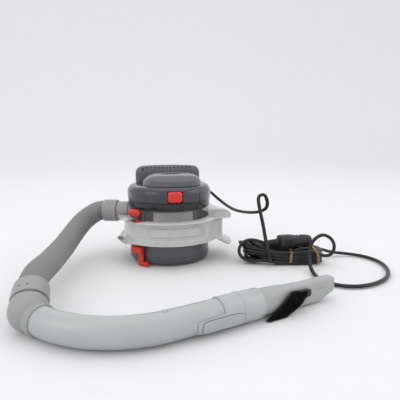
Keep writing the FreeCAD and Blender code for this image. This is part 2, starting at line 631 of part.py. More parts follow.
# ------------------------------------------------------------------ motor unit
def make_housing():
    """Round motor housing with a rounded shoulder, its dark collar, the top cap and the exhaust hump."""
    outside = cylinder("housing_outside", at(z=mm("seam_height")), "housing_radius", "housing_top - seam_height")
    top = mm("housing_top")
    soft = rounded("housing_soft", outside, lambda edge: edge.BoundBox.ZMin > top - 0.01, mm("shoulder"))
    inner_radius = mm("housing_radius") - mm("housing_wall")
    inside = cylinder("housing_inside", at(z=mm("seam_height") - 1), "housing_radius - housing_wall",
                      "housing_top - seam_height + 1 - housing_wall")
    ceiling = top - mm("housing_wall")
    room = rounded("housing_room", inside, lambda edge: edge.BoundBox.ZMin > ceiling - 0.01,
                   mm("shoulder") - mm("housing_wall"))
    motor_hole = cylinder("motor_hole", at(z=top - 10), "motor_radius + 3", 20)
    air_hole = block("air_hole", at(0, mm("hump_front") + 18, top - 10), 80, 24, 20)
    button_hole = block("button_hole", at(0, -mm("housing_radius") + 5, mm("button_low") - 0.4), "button_width + 0.8",
                        20, "button_height + 0.8")
    gland_place = Placement(Vector(0, 0, mm("gland_height")), Rotation(UP, heading(mm("gland_heading"))))
    gland_hole = cylinder("gland_hole", along(gland_place, inner_radius - 12), 5.2, 30)
    bosses = []
    pilots = []
    for quarter in range(4):
        spot = heading(20 + 90 * quarter) * mm("screw_circle")
        bosses.append(cylinder("screw_boss", at(spot.x, spot.y, mm("plate_low") + mm("plate_thickness")), 4,
                               "housing_top - 2 - plate_low - plate_thickness"))
        pilots.append(cylinder("screw_pilot", at(spot.x, spot.y, mm("plate_low")), "screw_radius", 17))
    shell = cut("housing_shell", soft, [room, motor_hole, air_hole, button_hole, gland_hole])
    node("motor_housing", cut("housing_cut", fused("housing_bossed", [shell] + bosses), pilots))
    make_collar_ring()
    make_cap()
    make_hump()
    gland_start = along(gland_place, inner_radius - 8)
    gland = cylinder("gland_root", gland_start, 5, 8)
    flange = cylinder("gland_flange", along(gland_place, inner_radius - 4), 5.6, 3)
    taper = solid("Cone", "gland_taper", along(gland_place, inner_radius), Radius1=5, Radius2=4,
                  Height="gland_length + housing_wall")
    bore = cylinder("gland_bore", along(gland_place, inner_radius - 20), "cord_width / 2", 20 + 200)
    core = fused("gland_body", [gland, flange, taper])
    node("cord_gland", cut("gland_cut", core, [bore]))


def make_collar_ring():
    """Dark collar under the seam, with a spigot into the bowl; both are notched over the inlet port."""
    band = turned("collar_band", [
        ("spigot_radius - spigot_wall", "bowl_top - spigot_depth"), ("spigot_radius", "bowl_top - spigot_depth"),
        ("spigot_radius", "collar_bottom"), ("skirt_radius", "collar_bottom"), ("skirt_radius", "seam_height"),
        ("spigot_radius - spigot_wall", "seam_height")])
    notch = cylinder("collar_notch", along(INLET, 40), "port_radius + 0.4", 60)
    node("housing_collar", cut("collar_notched", band, [notch]))


def soft_box(label, place, length, width, height, corner, edge):
    """A box with rounded upright corners and a rounded top edge."""
    raw = block(label + "_box", place, length, width, height)
    upright = rounded(label + "_corners", raw, lambda e: e.BoundBox.ZLength > 1, corner)
    doc.recompute()
    top = upright.Shape.BoundBox.ZMax
    return rounded(label + "_soft", upright, lambda e: e.BoundBox.ZMin > top - 0.01, edge)


def make_cap():
    """Lozenge-shaped cap over the motor, with a recess for the power switch."""
    middle = mm("cap_front") + mm("cap_depth") / 2
    top = mm("housing_top") + 0.05
    wall = 2.2
    outside = soft_box("cap", at(0, middle, top), "cap_width", "cap_depth", "cap_height", 36, 8)
    inside = soft_box("cap_room", at(0, middle, top - 0.5), mm("cap_width") - 2 * wall, mm("cap_depth") - 2 * wall,
                      mm("cap_height") - wall + 0.5, 34, 6)
    recess = block("switch_slot", at(0, middle - 8, top + 6), 24.6, 10.6, 20)
    motor_room = cylinder("cap_motor_room", at(z=top - 1), "motor_radius + 0.6", "motor_high - housing_top + 1.4")
    node("top_cap", cut("cap_cut", outside, [inside, recess, motor_room]))


def make_hump():
    """Exhaust hump behind the cap, pierced by staggered rows of vent holes."""
    depth = 70
    base = mm("housing_top") + 0.05
    height = mm("hump_top") - base
    place = at(0, mm("hump_front") + depth / 2, base)
    outside = soft_box("hump", place, "hump_width", depth, height, 12, 11)
    inside = soft_box("hump_room", place.multiply(at(z=-0.5)), mm("hump_width") - 5, depth - 5, height - 2, 10, 9)
    rim = cylinder("hump_rim", at(z=base - 1), "housing_radius - 4", 60)
    inner_rim = cylinder("hump_inner_rim", at(z=base - 1), "housing_radius - 6.5", 60)
    shell = cut("hump_shell", common("hump_outside", outside, rim), [common("hump_inside", inside, inner_rim)])
    pitch = mm("vent_pitch")
    vents = []
    for row_number in range(4):
        offset = (row_number % 2) * pitch / 2
        y = mm("hump_front") + 12 + row_number * pitch * 0.75
        reach = math.sqrt((mm("housing_radius") - 12) ** 2 - y ** 2)
        for column in range(-6, 7):
            x = column * pitch + offset
            if abs(x) < min(reach, mm("hump_width") / 2 - 12):
                vents.append(cylinder("vent", at(x, y, mm("hump_top") - 6), "vent_radius", 12))
    node("exhaust_hump", cut("hump_cut", shell, vents))


def make_controls():
    """Red release button with its spring, and the sliding power switch with its module."""
    low = mm("button_low")
    front = -mm("housing_radius") - 0.6
    face = cylinder("button_round", at(z=low), "housing_radius + 0.6", "button_height")
    zone = block("button_zone", at(0, front + 4.5, low), "button_width", 9, "button_height")
    plunger = block("button_plunger", at(0, front + 11.5, low + 5), 8, 6, 8)
    pocket = cylinder("button_pocket", Placement(Vector(0, front + 16, low + 9), Rotation(UP, Vector(0, -1, 0))), 2.9, 4)
    node("release_button", cut("button_cut", fused("button_body", [common("button", face, zone), plunger]), [pocket]))
    spring_place = Placement(Vector(0, front + 15.2, low + 9), Rotation(UP, SIDEWAYS))
    coil = cut("spring_coil", cylinder("spring_out", spring_place, 2.4, 3.2),
               [cylinder("spring_in", spring_place, 1.7, 3.2)])
    node("button_spring", coil)
    stop = block("spring_stop", at(0, front + 19.4, low + 4), 12, 2, mm("housing_top") - mm("housing_wall") - low - 4)
    node("button_bracket", stop)
    middle = mm("cap_front") + mm("cap_depth") / 2 - 8
    top = mm("housing_top") + mm("cap_height")
    thumb = block("switch_thumb", at(-3, middle, top - 3), 15, 10, 4)
    node("power_switch", fused("switch_slider", [thumb, block("switch_foot", at(-3, middle, top - 7), 6, 6, 4.2)]))
    node("switch_module", block("switch_case", at(0, middle, top - 14.6), 24, 13, 7.3))


def make_motor():
    """12 V motor on its mounting plate, with the fan and its shroud below."""
    high = mm("motor_high")
    can_out = cylinder("can_outside", at(z=mm("motor_low")), "motor_radius", "motor_high - motor_low")
    can_in = cylinder("can_inside", at(z=mm("motor_low") - 1), "motor_radius - 1.4", "motor_high - motor_low - 0.6")
    can_hole = cylinder("can_hole", at(z=high - 5), "shaft_radius + shaft_gap", 10)
    node("motor_can", cut("can_cut", can_out, [can_in, can_hole]))
    node("motor_end_bell", ring("bell_ring", "shaft_radius + shaft_gap", "motor_radius - 1.5", "motor_low",
                                "motor_low + 3"))
    node("motor_magnets", ring("magnet_ring", "motor_radius - 4.5", "motor_radius - 1.5", "motor_low + 5",
                               "motor_high - 6"))
    plate = ring("plate_disc", "shaft_radius + 2.5", "spigot_radius - spigot_wall - shaft_gap", "plate_low",
                 "plate_low + plate_thickness")
    holes = []
    screws = []
    for quarter in range(4):
        spot = heading(20 + 90 * quarter) * mm("screw_circle")
        holes.append(cylinder("plate_hole", at(spot.x, spot.y, mm("plate_low") - 1), "screw_radius + 0.3", 6))
        screws.append(cylinder("screw_head", at(spot.x, spot.y, mm("plate_low") - 2.2), 3, 2.2))
        screws.append(cylinder("screw_shank", at(spot.x, spot.y, mm("plate_low")), "screw_radius", 12))
    inlet_side = cylinder("plate_inlet_room", along(INLET, 40), "port_radius + 0.4", 60)
    node("mounting_plate", cut("plate_cut", plate, holes + [inlet_side]))
    node("housing_screws", fused("screws", screws))
    wall = 2
    low = "filter_high + 0.3"
    shroud = turned("shroud_cup", [
        ("fan_radius - 24", low), ("fan_radius + 5", low), ("fan_radius + 5", "plate_low"),
        (f"fan_radius + 5 - {wall}", "plate_low"), (f"fan_radius + 5 - {wall}", low + f" + {wall}"),
        ("fan_radius - 24", low + f" + {wall}")])
    node("fan_shroud", shroud)
    node("motor_shaft", cylinder("shaft_rod", at(z=mm("filter_high") + 3.4), "shaft_radius",
                                 "motor_high - filter_high - 2.4"))
    core = ring("armature_core", "shaft_radius", "motor_radius - 5", "motor_low + 7", "motor_high - 9")
    node("armature", core)
    hub = ring("fan_hub", "shaft_radius", 5, "filter_high + 3.6", "plate_low - 0.8")
    disc = ring("fan_disc", 4.5, "fan_radius", "plate_low - 2.2", "plate_low - 0.8")
    blades = []
    for number in range(9):
        spoke = turned_about_z(number * 40).multiply(at(4 + mm("fan_radius") / 2, 0, mm("filter_high") + 4.2))
        spoke = spoke.multiply(turned_about_z(14))
        blades.append(block("fan_blade", spoke, "fan_radius - 12", 1.2, "plate_low - filter_high - 5.6"))
    node("fan_impeller", fused("fan", [hub, disc] + blades))


def make_filter():
    """Pleated filter that pulls down off the motor unit, with its frame, end plate and seal."""
    frame = turned("frame_ring", [
        ("filter_radius - 22", "filter_high - 3"), ("filter_radius", "filter_high - 3"),
        ("filter_radius", "filter_high"), ("filter_radius - 22", "filter_high")])
    foot = ring("frame_foot", 0, "filter_radius", "filter_low - 2.4", "filter_low")
    posts = []
    for number in range(6):
        spoke = turned_about_z(number * 60).multiply(at(mm("filter_radius") - 1.5, 0, mm("filter_low") - 1))
        posts.append(block("frame_post", spoke, 2.4, 4, "filter_high - filter_low - 1"))
    shield = block("filter_shield", at(0, 1 - mm("filter_radius"), mm("filter_low") + 8), "shield_width", 2,
                   "filter_high - filter_low - 8")
    node("filter_frame", fused("frame", [frame, foot, shield] + posts))
    count = int(mm("pleat_count"))
    crest = mm("filter_radius") - 4
    root = crest - mm("pleat_depth")
    corners = []
    for number in range(2 * count):
        radius = crest if number % 2 else root
        angle = math.pi * number / count
        corners.append(Vector(radius * math.cos(angle), radius * math.sin(angle), mm("filter_low")))
    face = Part.Face(Part.makePolygon(corners + corners[:1]))
    bore = Part.Face(Part.Wire(Part.Circle(corners[0] * 0 + Vector(0, 0, mm("filter_low")), UP, root - 3).toShape()))
    pleats = doc.addObject("Part::Feature", "pleat_pack")
    pleats.Shape = face.cut(bore).extrude(Vector(0, 0, mm("filter_high") - 3 - mm("filter_low")))
    node("filter_pleats", pleats)
    node("filter_seal", ring("filter_ring", "filter_radius - 21.5", "filter_radius - 6", "filter_high",
                             "filter_high + 0.2"))


# ------------------------------------------------------------------ door and latch
def make_door():
    """Bottom door with a spigot, an arm to its hinge and a notch for the latch."""
    spigot = "bowl_mouth - 1"
    plate = turned("door_plate", [
        ("0", "0"), ("door_radius - 1.2", "0"), ("door_radius", "1.2"), ("door_radius", "door_thickness"),
        (spigot, "door_thickness"), (spigot, "bowl_bottom + 3.4"), (spigot + " - 2.4", "bowl_bottom + 3.4"),
        (spigot + " - 2.4", "door_thickness"), ("0", "door_thickness")])
    reach = mm("hinge_radius")
    arm_low = block("door_arm_low", HINGE.multiply(at(reach - 5, 0, 0.6)), 16, "knuckle_width",
                    mm("door_thickness") - 0.6)
    arm_up = block("door_arm_up", HINGE.multiply(at(reach - 0.5, 0, 0.6)), 7, "knuckle_width", "hinge_height - 0.6")
    knuckle_place = HINGE.multiply(Placement(Vector(reach, -mm("knuckle_width") / 2, mm("hinge_height")),
                                             Rotation(UP, SIDEWAYS)))
    knuckle = cylinder("door_knuckle", knuckle_place, "knuckle_radius - 0.2", "knuckle_width")
    bore = cylinder("door_bore", along(knuckle_place, -1), "pin_radius + shaft_gap", "knuckle_width + 2")
    notch = block("door_notch", LATCH.multiply(at(mm("door_radius") - 0.6, 4, -0.5)), 7, 14, 3)
    node("bottom_door", cut("door_cut", fused("door_body", [plate, arm_low, arm_up, knuckle]), [bore, notch]))
    node("door_seal", ring("door_seal_ring", "bowl_mouth - 0.9", "door_radius - 0.4", "door_thickness",
                           "door_thickness + seal_height"))


def make_latch():
    """Red lever: cap above, stem through the hose channel's slot, hook into the door's notch."""
    inner, stem_width = mm("latch_inner"), mm("latch_width")
    thick = mm("latch_stem")
    top = mm("bowl_top")
    middle = inner + thick / 2
    low, high = 7.5, mm("channel_high") + 3
    stem = block("latch_bar", at(middle, 0, low), "latch_stem", "latch_width", high - low)
    boss = cylinder("latch_boss", Placement(Vector(middle, -stem_width / 2, mm("latch_pivot")),
                                            Rotation(UP, SIDEWAYS)), 1.9, "latch_width")
    step = block("latch_step", at(middle + 4, -3, high - 2.6), thick + 8, stem_width + 4, 3.2)
    riser = block("latch_riser", at(middle + 7, -6, high - 2.6), 3.4, "latch_cap_width - 6", top - 6 - high + 2.6)
    cap = block("latch_cap_plate", at(middle + 6, -6, top - 8.6), 9, "latch_cap_width", 8.6)
    shelf = block("latch_shelf", at(middle + 3.4, 0, 25), thick + 6.8, "latch_cap_width", 9.5)
    foot = block("latch_foot", at(middle - 0.8, 3, 0.6), thick + 1.6, 13, 8)
    nib = block("latch_nib", at(mm("door_radius") + 2.3, 3, 0.6), 10, 10, 1.4)
    bore = cylinder("latch_lever_bore", Placement(Vector(middle, -20, mm("latch_pivot")), Rotation(UP, SIDEWAYS)),
                    "latch_pin_radius + shaft_gap", 40)
    lever = fused("latch_lever", [stem, boss, step, riser, cap, shelf, foot, nib])
    node("door_latch", cut("latch_cut", lever, [bore]), LATCH)


# ------------------------------------------------------------------ lead, hank and plug
HANK = turned_about_z(-12, 102.1, -87.1, 0)
PLUG_HEADING = 3


def make_lead():
    """Lead from the gland round the right side and up into a standing loop, and its tail on the floor."""
    radius = mm("cord_width") / 2
    gland = Placement(Vector(0, 0, mm("gland_height")), Rotation(UP, heading(mm("gland_heading"))))
    gland_end = mm("housing_radius") + mm("gland_length")
    points = [along(gland, gland_end).Base, along(gland, gland_end + 15.5).Base]
    points += [Vector(97, 90, 104), Vector(113, 81, 89), Vector(125, 58, 78.5), Vector(133.5, 22, 75),
               Vector(144, -18, 78.5), Vector(155, -52, 85.5), Vector(161.5, -69, 95), Vector(161, -75.5, 106),
               Vector(157, -78, 117), Vector(152.7, -78.4, 121.4), Vector(146.5, -79, 121.4),
               Vector(141.9, -79.6, 116.6), Vector(142.6, -82, 105.5), Vector(145, -85.5, 90),
               Vector(148.5, -90, 70), Vector(150.5, -97, 48), Vector(153, -104.5, 28),
               Vector(156.5, -107, 13.5), HANK.multVec(Vector(62, 0, 8))]
    route_tube("power_cord", points, radius)
    tail = [HANK.multVec(Vector(158, 52, 16)), HANK.multVec(Vector(178, 54, 9)), Vector(320, -71, 4.4),
            Vector(343, -91, 4), Vector(352, -126, 4), Vector(340, -166, 4), Vector(315, -202, 4.2),
            Vector(277, -225, 4.2), Vector(240, -229, 4.2), Vector(213, -211, 4), Vector(206, -179, 4),
            Vector(212, -148, 5), Vector(215, -130, 17), Vector(218, -124, 35), Vector(227, -122, 50),
            Vector(243, -121, 58), Vector(259, -122, 50), Vector(268, -119, 35), HANK.multVec(Vector(167, 9, 20)),
            HANK.multVec(Vector(158, 11, 14))]
    route_tube("cord_tail", tail, radius)


def make_hank():
    """Outer shape of the hank: a tied bundle with an open, taller end, and its two wire ties."""
    outline = [("0", "0"), ("hank_length", "0"), ("hank_length", "hank_height"), ("hank_open", "hank_height"),
               ("hank_open", "hank_crown"), ("12", "hank_crown"), ("0", "hank_crown - 16")]
    bundle = padded("hank_bundle", outline, "hank_depth", plane="XZ_Plane", midplane=True)
    bundle.Placement = at(y=mm("hank_depth") / 2)
    node("cord_hank", bundle, HANK)
    ties = []
    for x in (94, 141):
        outer = block("tie_outside", at(x, mm("hank_depth") / 2, 0.2), 5, "hank_depth + 1.4", "hank_height + 0.5")
        inner = block("tie_inside", at(x, mm("hank_depth") / 2, -1), 8, "hank_depth", "hank_height + 1")
        ties.append(cut("tie", outer, [inner]))
    node("cord_ties", fused("ties", ties), HANK)


def make_plug():
    """12 V socket plug lying on the hank: strain relief, body, nose cap, centre tip and side contacts."""
    start = Placement(Vector(180, -82, mm("hank_height") + mm("plug_radius") + 1), Rotation(UP, heading(PLUG_HEADING)))
    grip = mm("plug_grip")
    end = grip + mm("plug_barrel")
    relief = solid("Cone", "relief_taper", along(start, -mm("relief_length")), Radius1="cord_width / 2 + 0.8",
                   Radius2=6.5, Height="relief_length")
    node("plug_relief", relief)
    handle = cylinder("plug_handle", start, "plug_radius", "plug_grip")
    barrel = cylinder("plug_front", along(start, grip), "socket_radius", "plug_barrel")
    hollow = cylinder("plug_hollow", along(start, 6), "socket_radius - 2.4", end)
    windows = block("plug_windows", along(start, end - 16), 6.5, 40, 11)
    node("plug_body", cut("plug_cut", fused("plug_solid", [handle, barrel]), [hollow, windows]))
    nose = solid("Cone", "nose_outside", along(start, end), Radius1="socket_radius - 0.3", Radius2=8, Height=9)
    node("plug_nose", cut("nose_ring", nose, [cylinder("nose_bore", along(start, end - 1), 4.2, 30)]))
    node("plug_tip", fused("tip_pin", [
        cylinder("tip_rod", along(start, end - 2), 3.9, 13),
        solid("Cone", "tip_point", along(start, end + 11), Radius1=3.9, Radius2=1.4, Height=3.5)]))
    node("plug_fuse", cylinder("fuse_tube", along(start, end - 32), 3.2, 30))
    coil_length = end - 32 - 6 - mm("tip_travel")
    node("plug_spring", cut("plug_coil", cylinder("plug_coil_out", along(start, 6), 3.4, coil_length),
                            [cylinder("plug_coil_in", along(start, 6), 2.6, coil_length)]))
    for name, side in (("near", -1), ("far", 1)):
        place = along(start, end - 15.5).multiply(at(0, side * (mm("socket_radius") - 0.7), 0))
        node(f"plug_contact_{name}", block("contact_clip", place, 5, 3, 10))


for make in (make_bowl, make_hose_channel, make_inlet, make_hose, make_collar, make_wand, make_nozzle, make_brush,
             make_housing, make_controls, make_motor, make_filter, make_door, make_latch, make_lead, make_hank,
             make_plug):
    make()

doc.recompute()
for thing in doc.Objects:
    if "Invalid" in thing.State or "Error" in thing.State:
        raise RuntimeError(f"{thing.Label} did not build: {thing.State}")
os.makedirs("parts", exist_ok=True)
for name, thing in nodes.items():
    shape = thing.Shape
    if shape.isNull() or not shape.isValid() or not shape.Solids:
        raise RuntimeError(f"{name} has no valid solid")
    shape.exportStep(f"parts/{name}.step")
    box = shape.BoundBox
    print(f"{name:18s} solids {len(shape.Solids)} volume {shape.Volume:10.1f} "
          f"x {box.XMin:.1f} {box.XMax:.1f} y {box.YMin:.1f} {box.YMax:.1f} z {box.ZMin:.2f} {box.ZMax:.2f}")
print(len(nodes), "nodes")
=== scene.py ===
"""Looks of a cylinder-shaped 12 V handheld vacuum: clear bowl, hose channel, hose, wand, nozzle,
motor housing and lead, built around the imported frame.

The file is laid out as an add-on and is run as a script. Lengths inside the shape functions are in
millimetres, and make_piece turns them into metres.
"""

import math

import bmesh
import bpy
import numpy as np
from bpy.props import FloatProperty, FloatVectorProperty, IntProperty, PointerProperty
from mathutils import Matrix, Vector


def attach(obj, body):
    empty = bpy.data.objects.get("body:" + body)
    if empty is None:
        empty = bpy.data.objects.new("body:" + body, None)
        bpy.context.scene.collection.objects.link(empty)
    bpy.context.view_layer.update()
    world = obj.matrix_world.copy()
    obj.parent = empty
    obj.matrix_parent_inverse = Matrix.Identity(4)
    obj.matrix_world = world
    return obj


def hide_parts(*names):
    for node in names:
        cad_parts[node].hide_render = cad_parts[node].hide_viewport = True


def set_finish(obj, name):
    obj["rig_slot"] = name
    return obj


bl_info = {
    "name": "Handheld vacuum",
    "version": (1, 0, 0),
    "blender": (4, 5, 0),
    "location": "3D View > Sidebar > Vacuum",
    "description": "Builds the visible pieces of a 12 V handheld vacuum",
    "category": "Add Mesh",
}

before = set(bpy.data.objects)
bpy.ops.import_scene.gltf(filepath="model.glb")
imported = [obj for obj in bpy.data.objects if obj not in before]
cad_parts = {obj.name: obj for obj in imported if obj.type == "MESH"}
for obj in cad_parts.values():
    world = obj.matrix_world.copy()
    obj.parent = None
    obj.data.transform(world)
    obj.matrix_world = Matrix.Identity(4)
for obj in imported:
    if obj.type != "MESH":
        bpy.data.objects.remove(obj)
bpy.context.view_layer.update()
MM = 0.001
FULL_TURN = 2 * math.pi


# ------------------------------------------------------------------ places shared with the frame
def heading(degrees, slope=0.0):
    """Unit vector at an angle from +X in the floor plane, falling by slope degrees."""
    flat = math.cos(math.radians(slope))
    return np.array([flat * math.cos(math.radians(degrees)), flat * math.sin(math.radians(degrees)),
                     -math.sin(math.radians(slope))])


def turned_axes(degrees):
    """Axes turned about Z, as the columns of a matrix."""
    return np.stack([heading(degrees), heading(degrees + 90), np.array([0.0, 0.0, 1.0])], axis=1)


def axes_along(direction):
    """Axes whose Z follows a direction and whose X stays level, as the columns of a matrix."""
    forward = np.asarray(direction, float) / np.linalg.norm(direction)
    level = np.cross([0.0, 0.0, 1.0], forward)
    level /= np.linalg.norm(level)
    return np.stack([level, np.cross(forward, level), forward], axis=1)


def placed(grid, origin, axes):
    """A grid of points carried from a frame of its own to the vacuum's frame."""
    return np.asarray(origin, float) + np.asarray(grid, float) @ axes.T


INLET_HEADING = 162
INLET_ORIGIN, INLET_AXES = np.array([0.0, 0.0, 83.0]), axes_along(heading(INLET_HEADING))
LATCH_AXES = turned_axes(-138)
HINGE_AXES = turned_axes(42)
WAND_ORIGIN, WAND_AXES = np.array([-44.4, -329.4, 19.7]), turned_axes(19)
WAND_BEND, WAND_TURN, WAND_LEAD = 130.0, 69.0, 22.0
COLLAR_AXIS = heading(-89, 24)
COLLAR_AXES = axes_along(COLLAR_AXIS)
ELBOW_REACH, ELBOW_RADIUS = 25.0, 23.0
HANK_ORIGIN, HANK_AXES = np.array([102.1, -87.1, 0.0]), turned_axes(-12)
PLUG_START, PLUG_AXES = np.array([180.0, -82.0, 37.0]), axes_along(heading(3))
GLAND_HEADING, GLAND_HEIGHT, GLAND_END = 45, 116.0, 100.5
HOUSING_RADIUS = 74.5


def wand_start():
    """Start of the wand's bend and the direction back from there, in the wand's own frame."""
    turn = math.radians(WAND_TURN)
    point = np.array([-WAND_BEND * math.sin(turn), WAND_BEND * (1 - math.cos(turn)), 0.0])
    return point, np.array([-math.cos(turn), math.sin(turn), 0.0])


def elbow_middle():
    """Middle of the elbow, behind the wand's straight start and just clear of the floor."""
    point, back = wand_start()
    middle = placed(point + back * (WAND_LEAD + 6), WAND_ORIGIN, WAND_AXES)
    middle[2] = ELBOW_RADIUS + 0.3
    return middle


ELBOW = elbow_middle()
COLLAR_ORIGIN = ELBOW - COLLAR_AXIS * ELBOW_REACH


# ------------------------------------------------------------------ shape functions
def grid_faces(rows, columns, loop_rows, loop_columns):
    """Faces of a grid: each joins a point, the next one in its row and the two after them in the next row."""
    row = np.arange(rows if loop_rows else rows - 1)[:, None]
    column = np.arange(columns if loop_columns else columns - 1)[None, :]
    near, far = row * columns, (row + 1) % rows * columns
    left, right = column, (column + 1) % columns
    return np.stack([near + left, near + right, far + right, far + left], axis=-1).reshape(-1, 4)


def eased(corners, radius, steps=5, closed=True):
    """A polygon with soft corners: each corner becomes a parabola that starts and ends a radius away."""
    corners = np.asarray(corners, float)
    before, after = np.roll(corners, 1, axis=0) - corners, np.roll(corners, -1, axis=0) - corners
    radii = np.broadcast_to(np.asarray(radius, float), len(corners))[:, None]
    starts, ends = (corners + side * np.minimum(radii / np.maximum(length, 1e-9), 0.45)
                    for side, length in ((side, np.linalg.norm(side, axis=1, keepdims=True))
                                         for side in (before, after)))
    share = np.linspace(0, 1, steps)[None, :, None]
    curve = ((1 - share) ** 2 * starts[:, None] + 2 * share * (1 - share) * corners[:, None]
             + share ** 2 * ends[:, None])
    if closed:
        return curve.reshape(-1, curve.shape[-1])
    return np.concatenate([corners[:1], curve[1:-1].reshape(-1, curve.shape[-1]), corners[-1:]])


def lathe(profile, segments=160):
    """A profile of (radius, height) turned about Z: x = radius cos a, y = radius sin a, z = height."""
    angle = np.arange(segments)[:, None] * FULL_TURN / segments
    radius, height = profile[:, 0][None, :], profile[:, 1][None, :]
    return np.stack([radius * np.cos(angle), radius * np.sin(angle), height + 0 * angle], axis=-1)


def squircle(angle, half_width, half_height, power):
    """Point of a rounded rectangle at an angle: each half size times the signed power of cosine or sine."""
    cosine, sine = np.cos(angle), np.sin(angle)
    return (half_width * np.sign(cosine) * np.abs(cosine) ** (2 / power),
            half_height * np.sign(sine) * np.abs(sine) ** (2 / power))


def capped(grid):
    """A tube's grid with its first and last rows drawn together at their middles."""
    first, last = grid[:1].mean(axis=1, keepdims=True), grid[-1:].mean(axis=1, keepdims=True)
    return np.concatenate([np.broadcast_to(first, grid[:1].shape), grid,
                           np.broadcast_to(last, grid[:1].shape)])


def loft_bar(stations, samples=64, around=72, power=(2.0, 2.0)):
    """A bar along X: its section is a rounded rectangle whose size follows smooth curves along the bar.

    stations are rows of (x, half width, half height, middle y, middle z).
    """
    stations = np.asarray(stations, float)
    place = np.linspace(0, 1, samples)
    knots = np.linspace(0, 1, len(stations))
    x, half_width, half_height, middle_y, middle_z = (smooth_between(place, knots, stations[:, column])
                                                      for column in range(5))
    exponent = np.interp(place, np.linspace(0, 1, len(power)), power)[:, None]
    angle = np.arange(around)[None, :] * FULL_TURN / around
    across, up = squircle(angle, half_width[:, None], half_height[:, None], exponent)
    return np.stack([x[:, None] + 0 * across, middle_y[:, None] + across, middle_z[:, None] + up], axis=-1)


def smooth_between(place, knots, values):
    """Values between knots along monotone cubic curves, so nothing overshoots."""
    index = np.clip(np.searchsorted(knots, place, side="right") - 1, 0, len(knots) - 2)
    step = knots[index + 1] - knots[index]
    share = (place - knots[index]) / step
    slopes = np.diff(values) / np.diff(knots)
    inner = np.where(slopes[:-1] * slopes[1:] > 0,
                     2 * slopes[:-1] * slopes[1:] / (slopes[:-1] + slopes[1:] + 1e-12), 0.0)
    tangents = np.concatenate([slopes[:1], inner, slopes[-1:]])
    return ((2 * share ** 3 - 3 * share ** 2 + 1) * values[index]
            + (share ** 3 - 2 * share ** 2 + share) * step * tangents[index]
            + (-2 * share ** 3 + 3 * share ** 2) * values[index + 1]
            + (share ** 3 - share ** 2) * step * tangents[index + 1])


def carried_axes(path):
    """Two directions across a path at each of its points, turned no more than the path turns."""
    tangent = np.gradient(path, axis=0)
    tangent /= np.linalg.norm(tangent, axis=1, keepdims=True)
    across = np.empty_like(path)
    across[0] = np.cross(tangent[0], [0.0, 0.0, 1.0])
    for number in range(1, len(path)):
        turned = across[number - 1] - tangent[number] * (across[number - 1] @ tangent[number])
        across[number] = turned / np.linalg.norm(turned)
    across /= np.linalg.norm(across, axis=1, keepdims=True)
    return across, np.cross(tangent, across)


def tube(path, radius, around=48):
    """A round tube: each point of the path carries a circle, whose radius may differ from point to point."""
    across, up = carried_axes(path)
    angle = np.arange(around) * FULL_TURN / around
    radius = np.broadcast_to(np.asarray(radius, float), len(path))[:, None, None]
    rim = across[:, None] * np.cos(angle)[None, :, None] + up[:, None] * np.sin(angle)[None, :, None]
    return path[:, None] + radius * rim


def pebble(outline, rows):
    """A closed form on an outline of (x, y) from (inset, height) rows, with its ends drawn to the middle."""
    middle = outline.mean(axis=0)
    away = outline - middle
    distance = np.linalg.norm(away, axis=1, keepdims=True)
    inset, height = (np.asarray(rows, float)[:, column, None] for column in (0, 1))
    share = np.maximum(1 - inset / distance.T, 0.02)
    flat = middle + away[None] * share[..., None]
    return capped(np.concatenate([flat, np.broadcast_to(height[..., None], flat.shape[:2] + (1,))], axis=-1))


def rounded_outline(half_x, half_y, power, count=96, centre=(0.0, 0.0)):
    """Points of a rounded rectangle, evenly spread by angle."""
    x, y = squircle(np.arange(count) * FULL_TURN / count, half_x, half_y, power)
    return np.stack([x + centre[0], y + centre[1]], axis=-1)


def brick(centre, half, edge=0.8, axes=None):
    """A small block with soft edges, its three half sizes along axes of its own."""
    rows = [(edge, -half[2]), (edge * 0.3, -half[2] + edge * 0.3), (0, -half[2] + edge),
            (0, half[2] - edge), (edge * 0.3, half[2] - edge * 0.3), (edge, half[2])]
    grid = pebble(rounded_outline(half[0], half[1], 9, 40), rows)
    return placed(grid, centre, np.eye(3) if axes is None else axes)


def make_piece(name, surfaces, finish, body, slot, replaces=(), sharp=35):
    """One mesh object from closed surfaces in millimetres, each (points, loop rows, loop columns)."""
    points, faces, start = [], [], 0
    for grid, loop_rows, loop_columns in surfaces:
        points.append(grid.reshape(-1, 3))
        faces.append(grid_faces(*grid.shape[:2], loop_rows, loop_columns) + start)
        start += len(points[-1])
    mesh = bpy.data.meshes.new(name)
    mesh.from_pydata(np.concatenate(points) * MM, [], np.concatenate(faces).tolist())
    tidy_mesh(mesh, sharp)
    mesh.materials.append(finish)
    piece = bpy.data.objects.new(name, mesh)
    bpy.context.scene.collection.objects.link(piece)
    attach(piece, body)
    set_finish(piece, slot)
    if replaces:
        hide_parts(*replaces)
    return piece


def tidy_mesh(mesh, sharp):
    """Close seams and poles, point every face outwards and keep edges sharper than an angle crisp."""
    work = bmesh.new()
    work.from_mesh(mesh)
    bmesh.ops.remove_doubles(work, verts=work.verts, dist=2e-6)
    bmesh.ops.dissolve_degenerate(work, edges=work.edges, dist=1e-6)
    bmesh.ops.recalc_face_normals(work, faces=work.faces)
    work.to_mesh(mesh)
    work.free()
    mesh.shade_smooth()
    mesh.set_sharp_from_angle(angle=math.radians(sharp))


